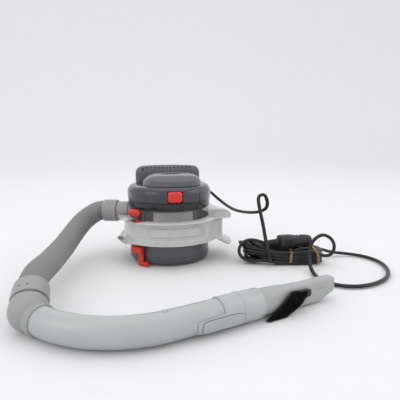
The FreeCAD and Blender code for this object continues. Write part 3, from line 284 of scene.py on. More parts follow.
def carve(piece, cutters, sharp=35):
    """Cut closed surfaces in millimetres out of a piece, as holes and slots."""
    tool = make_piece(piece.name + "_cutter", cutters, piece.data.materials[0], "root", piece["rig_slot"])
    step = piece.modifiers.new("holes", "BOOLEAN")
    step.object, step.solver, step.operation = tool, "EXACT", "DIFFERENCE"
    bpy.context.view_layer.update()
    graph = bpy.context.evaluated_depsgraph_get()
    carved = bpy.data.meshes.new_from_object(piece.evaluated_get(graph))
    piece.modifiers.remove(step)
    piece.data = carved
    bpy.data.objects.remove(tool)
    work = bmesh.new()
    work.from_mesh(carved)
    bmesh.ops.dissolve_degenerate(work, edges=work.edges, dist=1e-6)
    work.to_mesh(carved)
    work.free()
    carved.shade_smooth()
    carved.set_sharp_from_angle(angle=math.radians(sharp))
    return piece


def rod(start, direction, radius, length, around=40):
    """A closed plain cylinder, used for pins and for the holes that carve makes."""
    path = np.asarray(start, float) + np.linspace(0, length, 2)[:, None] * np.asarray(direction, float)
    axes = axes_along(direction) if abs(direction[2]) < 0.99 else np.eye(3)
    angle = np.arange(around) * FULL_TURN / around
    rim = radius * (np.cos(angle)[:, None] * axes[:, 0] + np.sin(angle)[:, None] * axes[:, 1])
    return capped(path[:, None] + rim[None])


def route_line(name, route, order=3):
    """Points along the smooth line of a route: the evaluated points of a clamped NURBS spline, in mm."""
    curve = bpy.data.curves.new(name, "CURVE")
    curve.dimensions = "3D"
    curve.resolution_u = 12
    spline = curve.splines.new("NURBS")
    spline.points.add(len(route) - 1)
    spline.points.foreach_set("co", np.column_stack([np.asarray(route) * MM, np.ones(len(route))]).ravel())
    spline.order_u = order
    spline.use_endpoint_u = True
    carrier = bpy.data.objects.new(name, curve)
    bpy.context.scene.collection.objects.link(carrier)
    bpy.context.view_layer.update()
    graph = bpy.context.evaluated_depsgraph_get()
    line = bpy.data.meshes.new_from_object(carrier.evaluated_get(graph))
    points = np.empty(len(line.vertices) * 3)
    line.vertices.foreach_get("co", points)
    bpy.data.objects.remove(carrier)
    bpy.data.curves.remove(curve)
    bpy.data.meshes.remove(line)
    return points.reshape(-1, 3) / MM


def evenly(line, spacing):
    """The same line with its points a set distance apart."""
    travel = np.concatenate([[0], np.cumsum(np.linalg.norm(np.diff(line, axis=0), axis=1))])
    marks = np.linspace(0, travel[-1], max(int(travel[-1] / spacing), 2) + 1)
    return np.stack([np.interp(marks, travel, line[:, axis]) for axis in range(3)], axis=-1), marks


# ------------------------------------------------------------------ finishes
def shade(hex_code):
    """Linear red, green, blue and one from an sRGB hex value."""
    values = np.array([int(hex_code[place:place + 2], 16) for place in (1, 3, 5)]) / 255
    linear = np.where(values <= 0.04045, values / 12.92, ((values + 0.055) / 1.055) ** 2.4)
    return (*linear.tolist(), 1.0)


def add_node(tree, kind, settings=None, **inputs):
    """Add one shader node; an input given as a socket is linked, and any other value is set."""
    made = tree.nodes.new("ShaderNode" + kind)
    for setting, value in (settings or {}).items():
        setattr(made, setting, value)
    for label, value in inputs.items():
        socket = made.inputs[label.replace("_", " ")]
        if isinstance(value, bpy.types.NodeSocket):
            tree.links.new(value, socket)
        else:
            socket.default_value = value
    return made


def mixed_colour(tree, share, first, second):
    """Socket of a colour that goes from one to another with a share."""
    blend = add_node(tree, "Mix", {"data_type": "RGBA"}, Factor=share)
    ends = [socket for socket in blend.inputs if socket.type == "RGBA"]
    ends[0].default_value, ends[1].default_value = first, second
    return next(socket for socket in blend.outputs if socket.type == "RGBA")


def size_scale(millimetres):
    """Noise scale, on coordinates in metres, whose features are about a size in millimetres."""
    return 1 / (millimetres * MM)


def moulded(name, colour, roughness, grain=0.6, bump=0.12, mottle=0.06, ior=1.5, **constants):
    """A moulded surface: base colour with a faint mottle, grain in the bump and rub marks in the roughness.

    grain is the size of the moulded texture in mm, and mottle the share by which the colour varies.
    """
    material = bpy.data.materials.new(name)
    material.use_nodes = True
    tree = material.node_tree
    tree.nodes.clear()
    place = add_node(tree, "TexCoord").outputs["Object"]
    texture = add_node(tree, "TexNoise", Vector=place, Scale=size_scale(grain), Detail=3.0, Roughness=0.6)
    patches = add_node(tree, "TexNoise", Vector=place, Scale=size_scale(38), Detail=4.0, Roughness=0.55)
    darker = tuple(value * (1 - mottle * 2) for value in colour[:3]) + (1.0,)
    lighter = tuple(min(value * (1 + mottle), 1.0) for value in colour[:3]) + (1.0,)
    paint = mixed_colour(tree, patches.outputs["Fac"], darker, lighter)
    rub = add_node(tree, "MapRange", Value=patches.outputs["Fac"], From_Min=0.3, From_Max=0.7,
                   To_Min=roughness * 0.88, To_Max=min(roughness * 1.14, 1.0))
    relief = add_node(tree, "Bump", Height=texture.outputs["Fac"], Strength=bump, Distance=grain * MM * 0.25)
    shader = add_node(tree, "BsdfPrincipled", Roughness=rub.outputs["Result"],
                      Normal=relief.outputs["Normal"], IOR=ior)
    for label, value in constants.items():
        shader.inputs[label.replace("_", " ")].default_value = value
    tree.links.new(paint, shader.inputs["Base Color"])
    add_node(tree, "OutputMaterial", Surface=shader.outputs["BSDF"])
    return material


def smoked_polycarbonate(colours):
    """Moulded smoked polycarbonate, clear and polished; below 60 mm it grows darker and less clear, a painted
    shade.
    """
    material = moulded("smoked_polycarbonate", colours.bowl_tint, 0.07, grain=9, bump=0.03, ior=1.585)
    tree = material.node_tree
    shader = next(node for node in tree.nodes if node.type == "BSDF_PRINCIPLED")
    place = add_node(tree, "TexCoord").outputs["Object"]
    height = add_node(tree, "SeparateXYZ", Vector=place).outputs["Z"]
    # Painted shade: below 60 mm the wall takes the foot colour and a higher alpha, so it reads dark where the
    # bowl's inside is shaded.
    share = add_node(tree, "MapRange", Value=height, From_Min=38 * MM, From_Max=60 * MM).outputs["Result"]
    tint = mixed_colour(tree, share, tuple(colours.bowl_foot_painted_shade), tuple(colours.bowl_tint))
    tree.links.new(tint, shader.inputs["Base Color"])
    depth = add_node(tree, "MapRange", Value=share, To_Min=0.7, To_Max=0.16)
    tree.links.new(depth.outputs["Result"], shader.inputs["Alpha"])
    return material


def ribbed_hose_vinyl(colours):
    """Extruded soft vinyl hose: matte, with a faint sheen and a colour that varies in patches."""
    return moulded("soft_vinyl_hose", colours.hose_grey, 0.62, grain=0.8, bump=0.25, mottle=0.09,
                   Sheen_Weight=0.15)


def tied_bristle_nylon(colours):
    """Extruded black nylon bristle: thin, with a small sharp highlight along each strand."""
    return moulded("bristle_nylon", colours.bristle_black, 0.42, grain=0.3, bump=0.05)


def rolled_steel(colours):
    """Zinc-plated rolled steel: bright, with fine drawn lines."""
    return moulded("zinc_plated_steel", shade("#B9BCC0"), 0.3, grain=0.4, bump=0.08, Metallic=1.0)


def wound_copper(colours):
    """Enamelled copper wire as it is wound on an armature: orange-brown lines a wire apart."""
    return moulded("enamelled_copper", shade("#9A5A32"), 0.35, grain=0.5, bump=0.5, Metallic=1.0)


def make_finishes(colours):
    """Every finish of the vacuum, by a short name of the piece's own stuff."""
    return {
        "bowl": smoked_polycarbonate(colours),
        # frosted polycarbonate with a silver pigment, under a thin glossy skin
        "channel": moulded("frosted_silver_polycarbonate", colours.channel_silver, 0.27, grain=1.2, bump=0.06,
                           mottle=0.03, ior=1.585, Coat_Weight=0.35, Coat_Roughness=0.12),
        # polished ABS: dark, with a clear gloss over it
        "housing": moulded("polished_charcoal_abs", colours.housing_charcoal, 0.2, grain=5, bump=0.04,
                           Coat_Weight=0.5, Coat_Roughness=0.08),
        "cap": moulded("satin_charcoal_abs", colours.cap_charcoal, 0.27, grain=0.9, bump=0.06,
                       Coat_Weight=0.3, Coat_Roughness=0.18),
        # spark-eroded ABS: an even fine grain that scatters the light
        "hump": moulded("grained_charcoal_abs", colours.hump_charcoal, 0.52, grain=0.9, bump=0.3),
        "collar": moulded("polished_black_abs", colours.collar_black, 0.12, grain=6, bump=0.03),
        "red": moulded("polished_red_abs", colours.button_red, 0.22, grain=4, bump=0.03, mottle=0.04,
                       Subsurface_Weight=0.06, Subsurface_Scale=0.002, Coat_Weight=0.3, Coat_Roughness=0.1),
        "hose": ribbed_hose_vinyl(colours),
        "port": moulded("satin_grey_polypropylene", colours.port_grey, 0.42, grain=1.1, bump=0.1),
        # silver-grey ABS with a pearl pigment, moulded smooth
        "wand": moulded("pearl_grey_abs", colours.wand_silver, 0.33, grain=0.7, bump=0.06, mottle=0.04,
                        Metallic=0.12, Coat_Weight=0.15, Coat_Roughness=0.25),
        "tip": moulded("matte_grey_polypropylene", colours.tip_grey, 0.5, grain=0.9, bump=0.1),
        "bristle": tied_bristle_nylon(colours),
        "black": moulded("black_polypropylene", colours.plug_black, 0.4, grain=0.8, bump=0.12),
        "lead": moulded("black_vinyl_sheath", colours.lead_black, 0.36, grain=1.4, bump=0.1, mottle=0.1),
        "rubber": moulded("grey_nitrile_rubber", shade("#2B2B2C"), 0.7, grain=0.7, bump=0.2),
        "steel": rolled_steel(colours),
        "copper": wound_copper(colours),
        "ferrite": moulded("sintered_ferrite", shade("#26272A"), 0.6, grain=0.5, bump=0.3),
        # thermally bonded polyester fleece, 1 mm fibres drawn coarse enough to show; its grey, darker than
        # the fleece's own cream, is a painted shade for the shaded inside
        "fleece": moulded("polyester_fleece", colours.fleece_painted_shade, 0.9, grain=1.0, bump=0.7, mottle=0.1,
                          Sheen_Weight=0.3),
        # Painted light: the frame and shield are near white so the shield reads lit inside the bowl, where
        # the motor unit shades it.
        "filter_frame": moulded("near_white_abs_painted_light", colours.filter_shield_painted_light, 0.45, grain=1.2, bump=0.1),
        "nylon": moulded("natural_nylon", shade("#C9C5B8"), 0.45, grain=0.9, bump=0.1,
                         Subsurface_Weight=0.15, Subsurface_Scale=0.003),
        "tie": moulded("tan_vinyl_tie", colours.tie_tan, 0.5, grain=0.9, bump=0.2),
    }


def length_value(name, description, millimetres):
    """A length that a user may change, in metres."""
    return FloatProperty(name=name, description=description, default=millimetres * MM, unit="LENGTH",
                         precision=5)


def colour_value(name, description, hex_code):
    """A linear colour that a user may change, from an sRGB hex value."""
    return FloatVectorProperty(name=name, description=description, default=shade(hex_code), size=4,
                               subtype="COLOR", min=0.0, max=1.0)


class VacuumColours(bpy.types.PropertyGroup):
    """Colours of the vacuum's plastics."""
    bowl_tint: colour_value("Bowl", "Clear upper part of the dust bowl", "#808183")
    # Painted shade: a darker tint for the bowl's foot, for the shaded inside seen through the clear wall.
    bowl_foot_painted_shade: colour_value("Bowl foot", "Thick lower part of the dust bowl", "#5C5C60")
    channel_silver: colour_value("Hose channel", "Frosted silver channel", "#C1C1BE")
    housing_charcoal: colour_value("Housing", "Polished motor housing", "#272A2F")
    cap_charcoal: colour_value("Cap", "Top cap", "#55575C")
    hump_charcoal: colour_value("Hump", "Grained exhaust hump", "#57585C")
    collar_black: colour_value("Collar", "Dark collar under the seam", "#1C1D20")
    button_red: colour_value("Red", "Release button and door latch", "#CC2014")
    hose_grey: colour_value("Hose", "Soft vinyl hose", "#7E7E7C")
    port_grey: colour_value("Port", "Inlet port, cuff and elbow", "#979898")
    wand_silver: colour_value("Wand", "Rigid wand and sleeve", "#ADB1B1")
    tip_grey: colour_value("Tip", "Crevice tip", "#A6A8A8")
    bristle_black: colour_value("Bristles", "Flip brush", "#101011")
    plug_black: colour_value("Plug", "Socket plug", "#1D1E20")
    lead_black: colour_value("Lead", "Twin lead", "#0B0B0C")
    # Painted shade: a grey darker than the fleece's own cream, for the shaded inside of the bowl.
    fleece_painted_shade: colour_value("Fleece", "Pleated filter", "#8E8C85")
    # Painted light: near white, brighter than the frame's own grey, so the shaded shield reads lit.
    filter_shield_painted_light: colour_value("Filter frame", "Frame and shield of the filter", "#F0EEE6")
    tie_tan: colour_value("Ties", "Wire ties round the hank", "#8F6A3E")
    floor_white: colour_value("Floor", "Studio floor and backdrop", "#E6E6E7")


class VacuumSizes(bpy.types.PropertyGroup):
    """Sizes of the pieces that only the looks need."""
    hose_rib: length_value("Hose rib", "Spacing of the hose's ribs", 3.4)
    hose_rib_depth: length_value("Rib depth", "Depth of the hose's ribs", 0.7)
    lead_width: length_value("Lead width", "Width of the flat twin lead", 6.4)
    lead_thickness: length_value("Lead thickness", "Thickness of the flat twin lead", 5.6)
    lead_turns: IntProperty(name="Turns", description="Whole turns of lead in the hank", default=12, min=3,
                            max=14)
    relief_height: length_value("Panel line", "Height of the raised outline on the hose channel", 2.2)
    bristle_count: IntProperty(name="Bristles", description="Bristles in each side of the brush", default=650,
                               min=50, max=3000)


FINISHES = {}


def sizes():
    """The scene's size values."""
    return bpy.context.scene.vacuum_sizes
# ------------------------------------------------------------------ dust bowl, channel and door
def window(value, half, soft):
    """One inside a half width and zero outside it, with a soft step between."""
    share = np.clip((half + soft - np.abs(value)) / soft, 0, 1)
    return share ** 2 * (3 - 2 * share)


def turn_from(angle, degrees):
    """Degrees from a heading, between -180 and 180."""
    return (np.degrees(angle) - degrees + 180) % 360 - 180


def make_bowl():
    """The clear bowl: one wall with rim beads below, the inlet's hole, hinge ears and latch ears."""
    profile = eased([(63, 5), (69.6, 5), (69.6, 6.4), (71.4, 7.2), (71.4, 9), (70, 9.8), (70, 11),
                     (72.2, 11.8),
                     (72.2, 14), (70.9, 15), (70.9, 16.4), (71.6, 17.4), (71.4, 36), (72, 38), (72, 97),
                     (69.8, 97), (69.8, 10), (66, 7.4), (63, 7.2)], 0.45, steps=4)
    bowl = make_piece("clear_bowl", [(lathe(profile, 200), True, True)], FINISHES["bowl"], "root",
                      "smoked_clear_bowl", ["dust_bowl"], sharp=40)
    outward = heading(INLET_HEADING)
    carve(bowl, [(rod(INLET_ORIGIN + outward * 60, outward, 17.05, 22, 72), False, True)])
    return bowl


def make_ears():
    """Clear ears that hold the latch's pin and the door's pin."""
    ears = []
    for side in (-1, 1):
        ears.append((placed(brick((75.2, side * 7.6, 60), (3.6, 1.1, 3.4), 0.7), [0, 0, 0], LATCH_AXES),
                     False, True))
        ears.append((placed(brick((76.4, side * 12.9, 9.8), (5.6, 2.9, 4.2), 1.4), [0, 0, 0], HINGE_AXES),
                     False, True))
    return make_piece("bowl_ears", ears, FINISHES["bowl"], "root", "smoked_clear_bowl", sharp=40)


def channel_section(angle):
    """Closed section of the hose channel at each angle, as (radius, height) points.

    bump reaches out to the right and dip lowers the lower lip at both sides. The floor carries a raised
    outline: with u along the floor and v up it, the distance to a rounded rectangle gives the ridge's height.
    """
    angle = angle[:, None]
    bump = window(turn_from(angle, -8), 15, 14)
    dip = np.maximum(window(turn_from(angle, -6), 18, 10), 0.35 * window(turn_from(angle, 186), 20, 12))
    lip, root, low = 92 + 21 * bump, 81.5 + 16 * bump, 41 - 13 * dip
    quarter = np.linspace(0, math.pi / 2, 9)[None, :]
    reach = lip - 0.6 - root
    high_curve = np.stack([lip - 0.6 - reach * np.sin(quarter), 71 + 6 * np.cos(quarter) + 0 * lip], axis=-1)
    height = np.linspace(70.6, 52.8, 46)[None, :]
    along_floor = np.radians(turn_from(angle, -90)) * 81.5
    gap_u, gap_v = np.abs(along_floor) - 40.5, np.abs(height - 61.7) - 1.6
    distance = (np.hypot(np.maximum(gap_u, 0), np.maximum(gap_v, 0))
                + np.minimum(np.maximum(gap_u, gap_v), 0) - 5.2)
    relief = sizes().relief_height / MM
    ridge = relief * np.exp(-(distance / 0.9) ** 2) + relief * 0.3 / (1 + np.exp(distance * 3))
    floor_curve = np.stack([root + ridge, height + 0 * root], axis=-1)
    low_curve = np.stack([lip - 0.6 - reach * np.cos(quarter), 49 - (47 - low) * np.sin(quarter)], axis=-1)
    under = np.linspace(0, 1, 8)[None, :]
    under_curve = np.stack([lip - 0.6 - reach * under, 41 - (41 - low) * np.sqrt(1 - under ** 2)], axis=-1)

    def corner(radius, level):
        return np.stack([radius + 0 * lip, level + 0 * lip], axis=-1)

    return np.concatenate([
        corner(72.1, 79), corner(lip - 0.7, 79), corner(lip - 0.15, 78.6), corner(lip, 78),
        corner(lip - 0.15, 77.3), high_curve, floor_curve, low_curve, corner(lip, low + 1.5),
        corner(lip, low + 0.5), under_curve, corner(72.1, 41), corner(72.1, 43), corner(root - 2, 43),
        corner(root - 2, 77), corner(72.1, 77)], axis=1)


def make_channel():
    """The frosted hose channel, with the latch's slot and the inlet's room cut out, and knobs at the left."""
    angle = np.radians(np.concatenate([np.linspace(-130, -50, 220), np.linspace(-49, 229, 279)]))
    section = channel_section(angle)
    grid = np.stack([section[..., 0] * np.cos(angle)[:, None], section[..., 0] * np.sin(angle)[:, None],
                     section[..., 1]], axis=-1)
    channel = make_piece("hose_groove", [(grid, True, True)], FINISHES["channel"], "root", "channel_grey",
                         ["hose_channel"], sharp=42)
    outward = heading(INLET_HEADING)
    slot = placed(brick((75.7, 0, 60), (4, 10, 44), 1.0), [0, 0, 0], LATCH_AXES)
    cap_room = placed(brick((80, -6, 86), (12, 15, 10), 2.0), [0, 0, 0], LATCH_AXES)
    inlet_room = rod(INLET_ORIGIN + outward * 66, outward, 21, 60, 72)
    carve(channel, [(slot, False, True)], sharp=42)
    carve(channel, [(cap_room, False, True)], sharp=42)
    carve(channel, [(inlet_room, False, True)], sharp=42)
    knobs = []
    for degrees, height, half in ((190, 76.8, (5.6, 5.4, 3.2)), (192, 43.4, (4.6, 4.6, 2.8))):
        knobs.append((placed(brick((91.6, 0, height), half, 1.6), [0, 0, 0], turned_axes(degrees)), False,
                      True))
    make_roof()
    make_piece("channel_knobs", knobs, FINISHES["bowl"], "root", "smoked_clear_bowl", sharp=40)
    return channel


def make_roof():
    """Clear sloping roof over the channel's right side, from the bowl's wall down to the far lip."""
    angle = np.radians(np.linspace(-38, 18, 60))
    share = np.linspace(0, 1, 12)
    reach = 92 + 20.6 * window(turn_from(angle, -8), 15, 14)[:, None]
    radius = 72.3 + (reach - 72.3) * share
    height = 79.6 + 15.5 * window(turn_from(angle, -8), 20, 9)[:, None] * (1 - share) ** 1.2
    upper = np.stack([radius * np.cos(angle)[:, None], radius * np.sin(angle)[:, None], height + 1.5],
                     axis=-1)
    lower = upper - [0, 0, 1.4]
    skin = np.concatenate([upper, lower[:, ::-1]], axis=1)
    return make_piece("channel_roof", [(capped(skin), False, True)], FINISHES["bowl"], "root",
                      "smoked_clear_bowl", sharp=40)


def make_door():
    """Clear bottom door with foot rings, an arm to its hinge knuckle and a notch for the latch."""
    profile = eased([(0.01, 1.2), (24, 1.2), (24.6, 0.6), (27, 0.6), (27.6, 1.2), (57, 1.2), (58, 0), (65, 0),
                     (67, 1.3), (67, 3.6), (66.2, 4.2), (0.01, 4.2)], 0.4, steps=4, closed=False)
    plate = lathe(profile, 160)
    knuckle = eased([(1.6, -9.7), (4, -9.7), (4, 9.7), (1.6, 9.7)], 0.5, steps=3)
    tangent = axes_along(heading(132))
    hinge_place = heading(42) * 78 + [0, 0, 10]
    arm = [(64, 1.2), (66, 4.4), (72, 6.2), (75.4, 9.4), (76.6, 7), (76, 2.4), (71, 1.2)]
    outline = eased(arm, 0.8, steps=3)
    across = np.linspace(-9.7, 9.7, 2)[:, None]
    web = np.stack([outline[:, 0] + 0 * across, across + 0 * outline[:, 0], outline[:, 1] + 0 * across],
                   axis=-1)
    door = make_piece("dust_door",
                      [(plate, True, False), (placed(lathe(knuckle, 56), hinge_place, tangent), True, True),
                                    (placed(capped(web), [0, 0, 0], HINGE_AXES), False, True)],
                      FINISHES["bowl"], "door", "smoked_clear_bowl", ["bottom_door"], sharp=40)
    notch = placed(brick((67.6, 3, 1.4), (4.4, 6, 2.2), 0.4), [0, 0, 0], LATCH_AXES)
    carve(door, [(notch, False, True)], sharp=40)
    return door


def make_latch():
    """Red lever: domed cap, thin stem in the channel's slot, shelf, and a foot that hooks the door."""
    cap = [(2.6, 77.2), (0.6, 78), (0, 79.6), (0.2, 83.6), (1.2, 85.6), (3.4, 86.6), (6.5, 87)]
    blocks = [
        placed(pebble(rounded_outline(12.4, 5.8, 4, 80, (-8.4, 93)), cap), [0, 0, 0],
               np.array([[0, 0, 1], [1, 0, 0], [0, 1, 0]], float)),
        brick((79.0, -6, 85.5), (1.3, 2.6, 6.4), 0.8),
        brick((77.4, -3, 77.6), (2.6, 5.4, 1.4), 0.6),
        brick((75.8, 0, 43.4), (1.4, 6, 35.4), 0.6),
        brick((80.2, -4.4, 28.8), (4.4, 11.6, 5.9), 1.8),
        brick((77.2, 1.0, 16.5), (1.7, 4.4, 9.8), 0.8),
        brick((76, 5.8, 4.8), (3.2, 10.2, 4.2), 1.4),
        brick((69.4, 3, 1.35), (4.8, 4.8, 0.7), 0.3)]
    along_pin = np.array([[0, 1, 0], [0, 0, 1], [1, 0, 0]], float)
    pivot = lathe(eased([(1.05, -6), (1.9, -6), (1.9, 6), (1.05, 6)], 0.3, steps=3), 40)
    surfaces = [(placed(block, [0, 0, 0], LATCH_AXES), False, True) for block in blocks]
    surfaces.append((placed(placed(pivot, (75.8, 0, 60), along_pin), [0, 0, 0], LATCH_AXES), True, True))
    return make_piece("red_latch", surfaces, FINISHES["red"], "latch", "red_plastic", ["door_latch"],
                      sharp=40)


class VACUUM_OT_bowl(bpy.types.Operator):
    """Build the clear bowl, the hose channel, the bottom door and its latch"""
    bl_idname = "vacuum.bowl"
    bl_label = "Bowl, channel, door and latch"

    def execute(self, context):
        make_bowl()
        make_ears()
        make_channel()
        make_door()
        make_latch()
        return {"FINISHED"}


# ------------------------------------------------------------------ inlet, hose and swivel
HOSE_ROUTE = [(-125.5, 40.8, 83), (-148.5, 32, 71), (-164, 8, 58), (-173.5, -24, 49.5), (-181, -60, 44.5),
              (-188.5, -101, 42.5), (-195, -147, 43), (-202, -193, 46)]


def make_inlet():
    """Inlet port with a flange on the bowl, and the cuff on the hose's end with its fine rings."""
    port = eased([(14.5, 66), (17, 66), (17, 73.6), (18.8, 74.2), (18.8, 76.4), (17, 77.2), (17, 99),
                  (14.5, 99)],
                 0.4, steps=4)
    make_piece("inlet_tube", [(placed(lathe(port, 96), INLET_ORIGIN, INLET_AXES), True, True)],
               FINISHES["port"], "root", "hose_grey", ["inlet_port"], sharp=40)
    profile = [(17.15, 96), (19.3, 96), (20, 96.7), (20, 100.4)]
    for number in range(4):
        start = 101 + 4.4 * number
        profile += [(19.3, start), (19.3, start + 0.7), (20, start + 1.1), (20, start + 3.9)]
    profile += [(20, 120.3), (19.4, 121), (18.05, 121), (18.05, 100), (17.15, 99.6)]
    cuff = lathe(eased(profile, 0.25, steps=3), 112)
    return make_piece("hose_end_cuff", [(placed(cuff, INLET_ORIGIN, INLET_AXES), True, True)],
                      FINISHES["port"], "root", "hose_grey", ["hose_cuff"], sharp=40)


def make_hose():
    """Ribbed hose from the cuff to the swivel collar: radius = outside less a wave along the length."""
    outward = heading(INLET_HEADING)
    route = [INLET_ORIGIN + outward * 102, INLET_ORIGIN + outward * 113, *HOSE_ROUTE,
             COLLAR_ORIGIN - COLLAR_AXIS * 26, COLLAR_ORIGIN - COLLAR_AXIS * 6]
    path, marks = evenly(route_line("hose_route", route), 0.43)
    values = sizes()
    wave = 0.5 - 0.5 * np.cos(FULL_TURN * marks / (values.hose_rib / MM))
    radius = 18 - values.hose_rib_depth / MM * wave ** 1.6
    hose = make_piece("ribbed_hose", [(capped(tube(path, radius, 64)), False, True)], FINISHES["hose"],
                      "root", "hose_grey", ["hose"], sharp=60)
    return hose, path[::8], marks[-1]


def make_swivel():
    """Collar on the hose's far end, with a band and two small dark pips facing forwards."""
    profile = eased([(18.1, -15), (20.8, -15), (21.7, -14), (22, -7.6), (22.5, -7), (22.5, 3.6), (23.1, 4.4),
                     (23.1, 8.8), (22.4, 10), (18.3, 10), (18.3, 0)], 0.5, steps=4)
    collar = make_piece("swivel_ring",
                        [(placed(lathe(profile, 112), COLLAR_ORIGIN, COLLAR_AXES), True, True)],
                        FINISHES["port"], "root", "hose_grey", ["swivel_collar"], sharp=40)
    holes = []
    for degrees in (62, 88):
        radial = COLLAR_AXES @ np.array([math.cos(math.radians(degrees)), -math.sin(math.radians(degrees)),
                                         0.0])
        for sign in (-1, 1):
            spot = COLLAR_ORIGIN + COLLAR_AXIS * 1.5 + sign * radial * 21.4
            holes.append((rod(spot, sign * radial, 1.5, 4, 20), False, True))
    carve(collar, holes, sharp=40)
    return collar


class VACUUM_OT_hose(bpy.types.Operator):
    """Build the inlet port, the cuff, the ribbed hose and the swivel collar"""
    bl_idname = "vacuum.hose"
    bl_label = "Inlet, hose and swivel"

    def execute(self, context):
        cuff = make_inlet()
        hose, path, length = make_hose()
        collar = make_swivel()
        return {"FINISHED"}


# ------------------------------------------------------------------ wand, sleeve, tip and brush
def ball(centre, radius, axes):
    """A small closed ball."""
    arc = np.linspace(-math.pi / 2, math.pi / 2, 13)
    return placed(placed(lathe(np.stack([radius * np.cos(arc), radius * np.sin(arc)], axis=-1), 32), centre,
                         np.eye(3)), [0, 0, 0], axes)


def make_elbow():
    """Bulb-shaped elbow: a neck in the collar, a dome, and the hub that holds the wand's straight start."""
    arc = np.linspace(0, math.pi / 2, 16)
    dome = np.stack([ELBOW_RADIUS * np.cos(arc), ELBOW_REACH + ELBOW_RADIUS * np.sin(arc)], axis=-1)
    neck = eased([(0.01, 1), (18, 1), (18, 10.4), (21.6, 11.6), (22.8, 15.5), (23, 20)], 1.2, steps=5,
                 closed=False)
    bulb = placed(lathe(np.concatenate([neck, dome]), 112), COLLAR_ORIGIN, COLLAR_AXES)
    point, back = wand_start()
    middle = point + back * (WAND_LEAD + 6)
    hub = eased([(17.85, 14), (19.35, 14), (19.35, 27.4), (18.8, 28.2), (17.85, 28.2)], 0.4, steps=4)
    ring = placed(placed(lathe(hub, 96), middle, axes_along(-back)), WAND_ORIGIN, WAND_AXES)
    return make_piece("bulb_elbow", [(bulb, True, False), (ring, True, True)], FINISHES["port"], "wand",
                      "hose_grey", ["wand_elbow"], sharp=40)


def make_wand():
    """Rigid wand: straight start, one bend, straight end, and a small nub for the sleeve's latch."""
    point, back = wand_start()
    angle = np.linspace(math.radians(WAND_TURN), 0, 60)
    bend = np.stack([-WAND_BEND * np.sin(angle), WAND_BEND * (1 - np.cos(angle)), 0 * angle], axis=-1)
    start = point + back * np.linspace(WAND_LEAD + 2, 2, 8)[:, None]
    end = np.linspace(3, 95, 24)[:, None] * np.array([1.0, 0, 0])
    path = np.concatenate([start, bend, end])
    wall = np.concatenate([tube(path, 17.75, 88), tube(path, 15.95, 88)[::-1]])
    surfaces = [(placed(wall, WAND_ORIGIN, WAND_AXES), True, True),
                (placed(ball((-8, 0, 17.3), 3, np.eye(3)), WAND_ORIGIN, WAND_AXES), True, False)]
    return make_piece("curved_wand", surfaces, FINISHES["wand"], "wand", "silver_grey", ["wand_tube"],
                      sharp=40)


TAB_MIDDLE = -165.7


def make_sleeve():
    """Sleeve over the wand's end: its open edge runs out into a tongue round the latch tab.

    The start of the sleeve follows x = 61 - 37 * window(angle from the tab's middle).
    """
    angle = np.linspace(0, FULL_TURN, 161)[:-1]
    away = turn_from(angle, TAB_MIDDLE)
    start = 61 - 37 * window(away, 24, 11) ** 0.8
    share = np.array([0, 0.008, 0.02, 0.1, 0.3, 0.5])[:, None]
    ring_x = np.array([88, 88.4, 92, 92.4, 100, 118.6, 119.6, 120])
    ring_lift = np.array([0, 0.7, 0.7, 0, 0, 0, -0.3, -0.9])
    outer_x = np.concatenate([start + (87 - start) * share, ring_x[:, None] + 0 * angle])
    edge = np.array([-0.7, -0.2, 0, 0, 0, 0])
    radius = 19.4 + np.concatenate([edge, ring_lift])[:, None] + 0 * angle
    inner_x = np.stack([120 + 0 * angle, 97 + 0 * angle, 96 + 0 * angle, start])
    inner_radius = np.array([14.8, 14.8, 18.05, 18.05])[:, None] + 0 * angle
    x = np.concatenate([outer_x, inner_x])
    radius = np.concatenate([radius, inner_radius])
    grid = np.stack([x, radius * np.cos(angle), radius * np.sin(angle)], axis=-1)
    sleeve = make_piece("nozzle_socket", [(placed(grid, WAND_ORIGIN, WAND_AXES), True, True)],
                        FINISHES["wand"], "nozzle", "silver_grey", ["nozzle_sleeve"], sharp=38)
    carve(sleeve, [(tab_shape(28.5, 8.5, [(0, 16), (0, 23)]), False, True)], sharp=38)
    return sleeve


def tab_shape(half_x, half_arc, rows):
    """A pad wrapped on the wand: its outline is (x, arc length) and each row is (inset, radius)."""
    flat = pebble(rounded_outline(half_x, half_arc, 5.5, 120, (58, 0)), rows)
    angle = math.radians(TAB_MIDDLE) + flat[..., 1] / 19.5
    wrapped = np.stack([flat[..., 0], flat[..., 2] * np.cos(angle), flat[..., 2] * np.sin(angle)], axis=-1)
    return placed(wrapped, WAND_ORIGIN, WAND_AXES)


def make_tab():
    """Latch tab: a long pad that stands a little above the sleeve, dished along its middle."""
    rows = [(0.3, 18.95), (0, 19.2), (0, 20.3), (0.35, 20.9), (1.1, 21.1), (2.2, 21.0), (3.4, 20.6),
            (5.2, 20.35)]
    return make_piece("latch_pad", [(tab_shape(28, 7.9, rows), False, True)], FINISHES["wand"],
                      "nozzle_latch", "silver_grey", ["nozzle_latch"], sharp=38)


